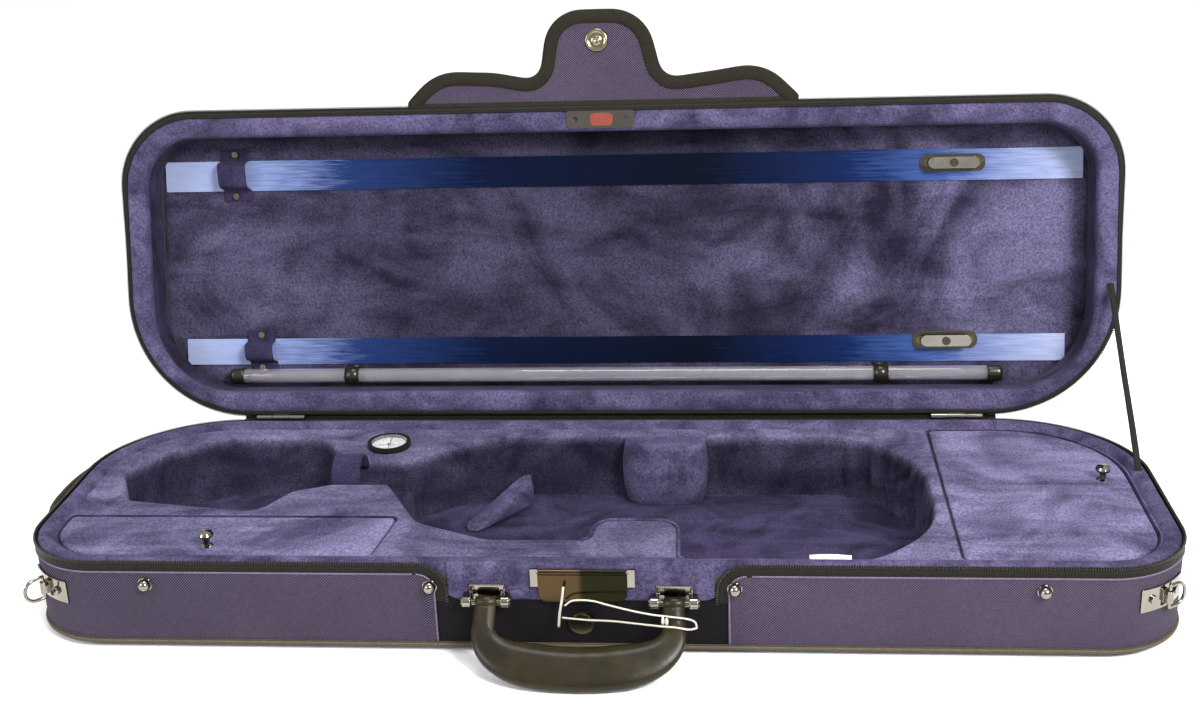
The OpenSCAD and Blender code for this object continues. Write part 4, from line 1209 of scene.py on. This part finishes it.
# lid
profile = [(-0.5, D(BAND_H - 0.6)), (0.0, D(BAND_H)), (0.25, D(14)), (0.0, D(24)), (0.2, D(34)), (0.0, D(42)),
           (-0.5, D(45.5)), (-1.8, D(48.2)), (-4.2, D(49.6)), (-9, D(LID_DEPTH))]
side = sweep(PATH, profile, lambda p, k: 0.3 * soft_row(p, 50, 7) * math.sin(k * 3.1))
back = filled(offset(PATH, -9.0), (), 26.0, lambda q, d: 0.25 * soft_row(q, 90, 3) * np.minimum(1, d / 30),
              D(LID_DEPTH))
piece("cover_lid", merge([side, back]), TWILL, "lid", ["lid_cover"])
mesh = merge([tube(at_height(offset(PATH, -0.6), D(BAND_H + 0.2)), 0.8, 8, True),
                  tube(at_height(offset(PATH, -1.4), D(48.4)), 1.3, 10, True)])
piece("lid_hem", mesh, PIPE, "lid")

x, y = HALF_L - LID_INSET, HALF_W - LID_INSET
inner = ccw(resample(rounded([(-x, -y, 40), (x, -y, 40), (x, y, HOLLOW_R), (-x, y, HOLLOW_R)], 24), 4.0))


def bearings(p):
    return np.unwrap([math.atan2(q[1] / HALF_W, q[0] / HALF_L) for q in p])


def match(path):
    """The path's points that face the same directions as the case's outline."""
    ang, want = bearings(path), bearings(PATH)
    ang = ang + round((want[0] - ang[0]) / (2 * math.pi)) * 2 * math.pi
    a3 = np.r_[ang - 2 * math.pi, ang, ang + 2 * math.pi]
    return np.stack([np.interp(want, a3, np.tile(path[:, k], 3)) for k in (0, 1)], axis=1)


IN = match(inner)
outer_edge = offset(PATH, -1.7)
rows = []
for k, z in ((0.0, D(7.5)), (0.0, D(3.4)), (0.03, D(1.7)), (0.12, D(0.75)), (0.3, D(0.55)), (0.5, D(0.7)),
             (0.68, D(0.9)), (0.84, D(1.5)), (0.95, D(3.0)), (1.0, D(5.0)), (1.015, D(8.6))):
    ring_k = outer_edge + (IN - outer_edge) * k
    bump_k = (0.5 * soft_row(ring_k, 24, 11) + 0.35 * soft_row(ring_k, 9, 12)) * math.sin(min(1, k) * math.pi)
    sink = np.array([max(0.0, D(2.7) - z) * max(0.0, min(1.0, (30.5 - abs(a + 6)) / 2.5 + 0.5))
                     if b < FRONT + 17.5 else 0.0 for a, b in ring_k])
    rows.append(at_height(ring_k, z - bump_k * (sink == 0) + sink))
piece("lid_rim_roll", grid(rows, True), SUEDE_RIM, "lid", ["lid_rim_pad"])

nin = normals(IN)
rows = [at_height(IN + nin * 1.2, D(8.2)), at_height(IN + nin * 0.2, D(9.4))]
for k in np.linspace(0, 1, 8):
    w = 0.6 * soft_row(IN, 22, k) * math.sin(k * math.pi)
    rows.append(at_height(IN + nin * (w + 0.2)[:, None], D(11 + 27.5 * k)))
rows += [at_height(IN + nin * 0.5, D(39.6)), at_height(IN + nin * 2.0, D(41))]
piece("lid_wall", grid(rows, True), SUEDE_SHADED, "lid")


def panel_lift(q, dist):
    return np.array([-0.55 * max(-0.4, soft(a, b, 55, 14)) * min(1, d / 30) + 3.2 * math.exp(-(d / 3.0) ** 2)
                     for (a, b), d in zip(q, dist)])


mesh = filled(offset(IN, 0.8), (), 9.0, panel_lift, D(PANEL_D))
piece("lid_panel", mesh, SUEDE_LID, "lid", ["lid_padding"])


# dark tape that lines the lid's zipper band and the flap's root
LPN = normals(PATH)
rows = []
for o, d, reach in ((-2.2, 0.7, 0.0), (-1.0, 0.5, 0.1), (-0.2, 0.6, 0.4), (0.0, 0.9, 0.8), (0.2, 1.6, 0.95),
                    (-0.2, 3.0, 0.6), (-0.4, 5.0, 0.1), (-0.8, 9.6, 0.0)):
    rows.append(at_height(PATH + LPN * (o + flare(PATH, 0.0) * reach), D(d)))
piece("lid_band_lining", grid(rows, True), TAPE, "lid")
xs = np.arange(-161, 151.1, 3.0)
root = ((0.9, 0.9), (-1.5, 0.8), (-5.6, 0.9), (-6.6, 2.3), (-5.6, 3.7), (-1.5, 4.4), (0.9, 5.2))
rows = [[(x, FRONT + a, D(b)) for x in xs] for a, b in root]
piece("flap_root", grid(rows), BINDING, "lid")


# lid fittings
def ribbon(name, v0, v1, seed):
    reach = min(np.abs(IN[np.abs(IN[:, 1] - lid_y(v)) < 5][:, 0]).max() for v in (v0, v1))
    xs = np.linspace(-reach - 0.6, reach + 0.6, 180)
    rows = []
    for k in np.linspace(0, 1, 9):
        v = v0 + (v1 - v0) * k
        rows.append([(x, lid_y(v) + 0.35 * soft(x, 0, 90, seed), D(PANEL_D - 0.9 - 0.5 * soft(x, v, 60, seed)
                      - 0.5 * math.cos(x / reach * 1.5) - 0.25 * math.sin(k * math.pi))) for x in xs])
    o = piece(name, grid(rows), SATIN, "lid", ["satin_ribbons"])
    return o


ribbon("ribbon_low", 37, 59, 21.0)
ribbon("ribbon_high", 184, 209, 22.0)


def tip_loop(name, x0, x1, v0, v1):
    """Suede bridge with a flat ear at each end."""
    w = v1 - v0
    path = [(0, -1.0), (3.5, -1.2), (7.4, -1.5), (9.0, -3.0), (10.2, -8), (11.4, -12.2), (14.0, -14.0),
            (18, -14.4), (w - 18, -14.4), (w - 14.0, -14.0), (w - 11.4, -12.2), (w - 10.2, -8),
            (w - 9.0, -3.0), (w - 7.4, -1.5), (w - 3.5, -1.2), (w, -1.0)]
    path = spline([(0, a, b) for a, b in path], 4)[:, 1:]
    rows = []
    for s, o in ((0, 0), (0.4, -0.8), (2, -1.0), (0.5 * (x1 - x0), -0.85), (x1 - x0 - 2, -1.0),
                 (x1 - x0 - 0.4, -0.8), (x1 - x0, 0), (x1 - x0 - 0.4, 0.7), (2, 0.7)):
        rows.append([(x0 + s + 1.4 * math.sin((v - w / 2) / w * 2.2), lid_y(v1) + v, D(PANEL_D + d + o))
                     for v, d in path])
    piece(name, grid(rows, False, True), SUEDE_FLAP, "lid", ["bow_tip_loops"])
    seams = [[(x0 + 2.2 + s, lid_y(v1) + q, D(PANEL_D - 2.3)) for q in np.arange(1, 7, 0.8)]
             for s in (0, x1 - x0 - 4.4)]
    seams = merge([stitches(seam, (0, 0, -1), 2, 1.3, 0.2) for seam in seams])
    piece(name + "_stitches", seams[:2], THREAD, "lid")


tip_loop("tip_loop_high", -329, -305, 176, 218)
tip_loop("tip_loop_low", -312, -288, 31, 66)

# closing flap with its binding
FLAP = rounded([(-164, FRONT - 4, 1), (-138, FRONT - 31, 40), (-90, FRONT - 29, 90), (-54, FRONT - 22, 12),
                (-46, FRONT - 77, 30), (30, FRONT - 77, 34), (44, FRONT - 22, 14), (84, FRONT - 27, 90),
                (124, FRONT - 33, 40), (154, FRONT - 4, 1)], 14)
FLAP = ccw(resample(FLAP, 2.5))
for _ in range(3):
    FLAP = (np.roll(FLAP, 1, 0) + FLAP * 2 + np.roll(FLAP, -1, 0)) / 4


def flap_z(x, y):
    far = (FRONT - y) / 80
    return D(2.3) + 1.6 * soft(x, y, 60, 31) * far * 0.6


parts = []
for side in (-1, 1):
    v, f, uv = filled(offset(FLAP, -1.0), (), 5.0, None, 0)
    v[:, 2] = [flap_z(x, y) + side * 1.0 for x, y in v[:, :2]]
    parts.append((v, f, uv))
piece("flap_cloth", merge(parts), TWILL, "flap", ["flap_panel"])
run = FLAP[FLAP[:, 1] < FRONT - 5.2]
jump = int(np.argmax(np.linalg.norm(np.roll(run, -1, 0) - run, axis=1)))
run = np.roll(run, -(jump + 1), axis=0)
nr = normals(run, False)
BIND = 10.5
rows = []
for out, dz in ((-BIND, -1.35), (-BIND + 0.5, -1.75), (-6, -1.7), (-2, -1.7), (-0.2, -1.2), (0.5, 0),
                (-0.2, 1.2), (-2, 1.7), (-6, 1.7), (-BIND + 0.5, 1.75), (-BIND, 1.35)):
    rows.append([(x, min(y, FRONT - 4.2), flap_z(x, y) + dz) for x, y in run + nr * out])
piece("flap_binding", grid(rows), BINDING, "flap")
for sign, name in ((-1, "front"), (1, "back")):
    q = run + nr * (-BIND + 1.6)
    seam = [(x, min(y, FRONT - 4.6), flap_z(x, y) + sign * 1.95) for x, y in q]
    piece("flap_stitches_" + name, stitches(seam, (0, 0, sign), 2.6, 1.7, 0.24)[:2], THREAD_DARK, "flap")
c = np.array((-8, lid_y(299), D(2.3)))


def lathe(centre, axis_out, profile, sides=40):
    w = np.array(axis_out, float)
    u = np.cross(w, [1, 0, 0]) if abs(w[0]) < 0.9 else np.cross(w, [0, 1, 0])
    u /= np.linalg.norm(u)
    t = np.cross(w, u)
    rows = [[centre + w * h + r * (math.cos(a) * u + math.sin(a) * t)
             for a in circle(sides)] for r, h in profile]
    return grid(rows, True)


SNAP = [(0.05, 1.2), (1.3, 1.2), (1.9, 1.7), (2.8, 1.5), (3.3, 0.9), (6.4, 0.9), (7.4, 1.6), (8.6, 1.5),
        (9.2, 0.7), (9.2, -0.6)]
piece("flap_snap", lathe(c - np.array([0, 0, 1.3]), (0, 0, -1), SNAP), BRASS, "flap")

# music pocket on the lid's outside
corners = [(-386, FRONT + 8, 50), (386, FRONT + 8, 50), (386, HALF_W - 12, 84), (-386, HALF_W - 12, 84)]
P = ccw(resample(rounded(corners, 24), 4.0))
rows = []
for out, d in ((0, 50.2), (0.3, 52.5), (0.2, 56), (-0.4, 58.6), (-2.2, 60.4), (-5.5, 61.0), (-12, 61.0)):
    rows.append(at_height(P[:, :2] + normals(P) * out, D(d)))
side = grid(rows, True)
top = filled(offset(P, -12.0), (), 24.0, lambda q, d: 0.5 * soft_row(q, 110, 41) * np.minimum(1, d / 40),
             D(61.0))
piece("pocket_cloth", merge([side, top]), TWILL, "lid", ["music_pocket"])
tape = ((0.1, 52.2), (0.7, 52.6), (0.75, 53.7), (0.75, 55.2), (0.7, 56.4), (0.1, 56.8))
piece("pocket_tape", grid([at_height(offset(P, o), D(d)) for o, d in tape], True), TAPE, "lid")
q = resample(at_height(offset(P, 0.5), D(54.4)), 1.8)
nq = at_height(normals(q), 0)
tq = unit(np.roll(q, -1, 0) - q)
teeth = merge([bead(q[i] + nq[i] * 0.6, tq[i], nq[i], (0, 0, 1), 0.55, 0.8, 1.4, 6, 4)
               for i in range(len(q))])
piece("pocket_coil", teeth[:2], COIL, "lid")
piece("pocket_piping", tube(at_height(offset(P, -1.2), D(60.2)), 1.2, 10, True), PIPE, "lid")

# string tube: clear wall, end plug and rolled lip
(tx0, tx1), _, _ = case_box("string_tube")
axis = np.array([0, lid_y(28.2), D(PANEL_D - 9)])
prof = [(0.3, 0), (4.6, 0.1), (5.6, 0.9), (6.0, 2.2), (6.0, tx1 - tx0), (5.1, tx1 - tx0), (5.1, 3.0),
        (0.3, 2.2)]
rows = []
for r, x in prof[:4] + [(6.0, x) for x in np.linspace(60, tx1 - tx0 - 1, 12)] + prof[4:6] + \
        [(5.1, x) for x in np.linspace(tx1 - tx0 - 1, 40, 12)] + prof[6:]:
    rows.append([(tx0 + x, axis[1] + r * math.cos(a), axis[2] + r * math.sin(a))
                 for a in circle(36)])
piece("clear_tube", grid(rows, True), CLEAR, "string_tube", ["string_tube"])


def ribbed_cap(x0, x1, r, closed_at, name, body, replaces):
    rows = []
    outline_r = [(x, r - (0.9 if abs(x - closed_at) < 0.1 else 0.0) - (0.25 if i % 2 else 0))
                 for i, x in enumerate(np.linspace(x0, x1, 7))]
    if closed_at == x0:
        outline_r = [(x0 - 0.4, 0.3), (x0 - 0.35, r - 2.2)] + outline_r
        outline_r += [(x1, 6.1)]
    else:
        outline_r = [(x0, 6.1)] + outline_r + [(x1 + 0.35, r - 2.2), (x1 + 0.4, 0.3)]
    for x, rad in outline_r:
        rows.append([(x, axis[1] + rad * math.cos(a) * (1 + 0.012 * math.cos(18 * a)),
                      axis[2] + rad * math.sin(a) * (1 + 0.012 * math.cos(18 * a)))
                     for a in circle(72)])
    piece(name, grid(rows, True), GLOSS, body, replaces)


(cx0, cx1), _, _ = case_box("tube_cap")
ribbed_cap(cx0, cx1 - 0.4, 7.1, cx1 - 0.4, "cap_right", "tube_cap", ["tube_cap"])
ribbed_cap(tx0 - 1.2, tx0 + 10, 7.0, tx0 - 1.2, "cap_left", "string_tube", [])


def clip(x):
    rows = []
    for a in np.linspace(math.radians(-218), math.radians(38), 26):
        c, s = math.cos(a), math.sin(a)
        rows.append([(x + w, axis[1] + (6.1 + o) * c, axis[2] + (6.1 + o) * s)
                     for w, o in ((-6, 0.1), (-5.6, 1.5), (0, 1.75), (5.6, 1.5), (6, 0.1), (5.6, 0.05),
                                  (-5.6, 0.05))])
    corners = ((-1, -1), (1, -1), (1, 1), (-1, 1))
    foot = [[(x + sx * 6, axis[1] + sy * 8, D(PANEL_D - h)) for sx, sy in corners] for h in (0.0, 2.2)]
    return merge([grid(rows, True), capped(grid(foot, True), 4)])


piece("tube_clip_pair", merge([clip(-221), clip(218)]), GLOSS, "lid", ["tube_clips"])

# red-brown pad behind the strike plate's slots
corners = [(-14, FRONT + 4, 1), (4, FRONT + 4, 1), (4, FRONT + 14, 1), (-14, FRONT + 14, 1)]
piece("strike_leather", padded_slab(corners, D(0.7), D(1.4), 0.3), STRIKE_RED, "lid")

# flat ribbon that stays the lid
STAY_X, STAY_Y, STAY_V = 392.0, 24.0, 102.0
a = place([(STAY_X, STAY_Y, RIM + 0.3)])[0]
b = place([(STAY_X, lid_y(STAY_V), RIM - 0.3)], True)[0]
along = (b - a) / np.linalg.norm(b - a)
edge_dir = np.array([1.0, 0, 0])
out = np.cross(edge_dir, along)
length = np.linalg.norm(b - a)
rows = []
for w, o in ((-2.5, 0), (-2.3, 0.4), (-1, 0.45), (1, 0.45), (2.3, 0.4), (2.5, 0), (2.3, -0.4), (-2.3, -0.4)):
    rows.append([a + along * length * k + edge_dir * w * MM * math.cos(0.4 * math.sin(k * 3))
                 + out * (o + 0.9 * math.sin(k * math.pi) * 0.8 + 0.5 * math.sin(k * 9)) * MM
                 for k in np.linspace(0, 1, 60)])
mesh = grid(np.array(rows) / MM - np.array([PX, PY, 0]), False, True)
stay = piece("stay_ribbon", mesh, TAPE, None, ["stay_strap"])
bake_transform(stay)

# cloth gusset behind the hinges
xs = np.arange(-306, 306.1, 6.0)
low = [place([(x, HALF_W + 0.4, RIM - h) for x in xs]) for h in (10.0, 6.0, 3.0)]
high = [place([(x, HALF_W + 0.4, D(h)) for x in xs], True) for h in (3.0, 6.0, 10.0)]
fold = [low[2] + (high[0] - low[2]) * k + np.array([0, 3.4 * MM * math.sin(k * math.pi), 0])
        for k in (0.2, 0.4, 0.6, 0.8)]
mesh = grid([r / MM - np.array([PX, PY, 0]) for r in low + fold + high])
gusset = piece("hinge_gusset", mesh, TAPE, None)
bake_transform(gusset)

# carried-over metal and plastic
FINISH = {
    "base_shell": BOARD, "lid_shell": BOARD, "left_knob": CHROME, "right_knob": CHROME,
    "hygrometer_case": GLOSS, "hygrometer_pointer": INK, "hygrometer_lens": LENS, "latch_housing": CHROME,
    "latch_plate": PLATE, "base_snap": BRASS, "ball_studs": CHROME, "handle_brackets": CHROME,
    "handle_pins": NICKEL, "ring_plates": CHROME, "base_screws": CHROME, "left_ring": CHROME,
    "right_ring": CHROME, "feet": NICKEL, "base_hinge_leaves": CHROME, "lid_hinge_leaves": CHROME,
    "lid_rivets": BRASS, "spinner_plates": NICKEL, "upper_spinner": BAR_HIGHLIT, "lower_spinner": BAR_HIGHLIT,
    "strike_plate": CHROME,
}
ROUND = {"upper_spinner": 2.6, "lower_spinner": 2.6, "latch_plate": 0.35, "latch_housing": 0.5,
         "handle_brackets": 0.7, "ring_plates": 0.5, "base_screws": 0.5, "lid_rivets": 0.45,
         "spinner_plates": 0.4, "strike_plate": 0.4, "base_snap": 0.5, "handle_pins": 0.3,
         "hygrometer_case": 0.6, "base_hinge_leaves": 0.3, "lid_hinge_leaves": 0.3}
for name, o in frame["nodes"].items():
    if o.hide_render:
        continue
    o.data.materials.clear()
    o.data.materials.append(FINISH[name])
    o.data.polygons.foreach_set("use_smooth", [True] * len(o.data.polygons))
    if "custom_normal" in o.data.attributes:
        o.data.attributes.remove(o.data.attributes["custom_normal"])
    joined = o.modifiers.new("weld", "WELD")
    joined.merge_threshold = 0.01 * MM
    edge_mod = o.modifiers.new("bevel", "BEVEL")
    edge_mod.width = ROUND.get(name, 0.2) * MM
    edge_mod.segments = 4 if ROUND.get(name, 0) > 1 else 3
    edge_mod.limit_method = "ANGLE"
    edge_mod.angle_limit = math.radians(38)
    edge_mod.harden_normals = True
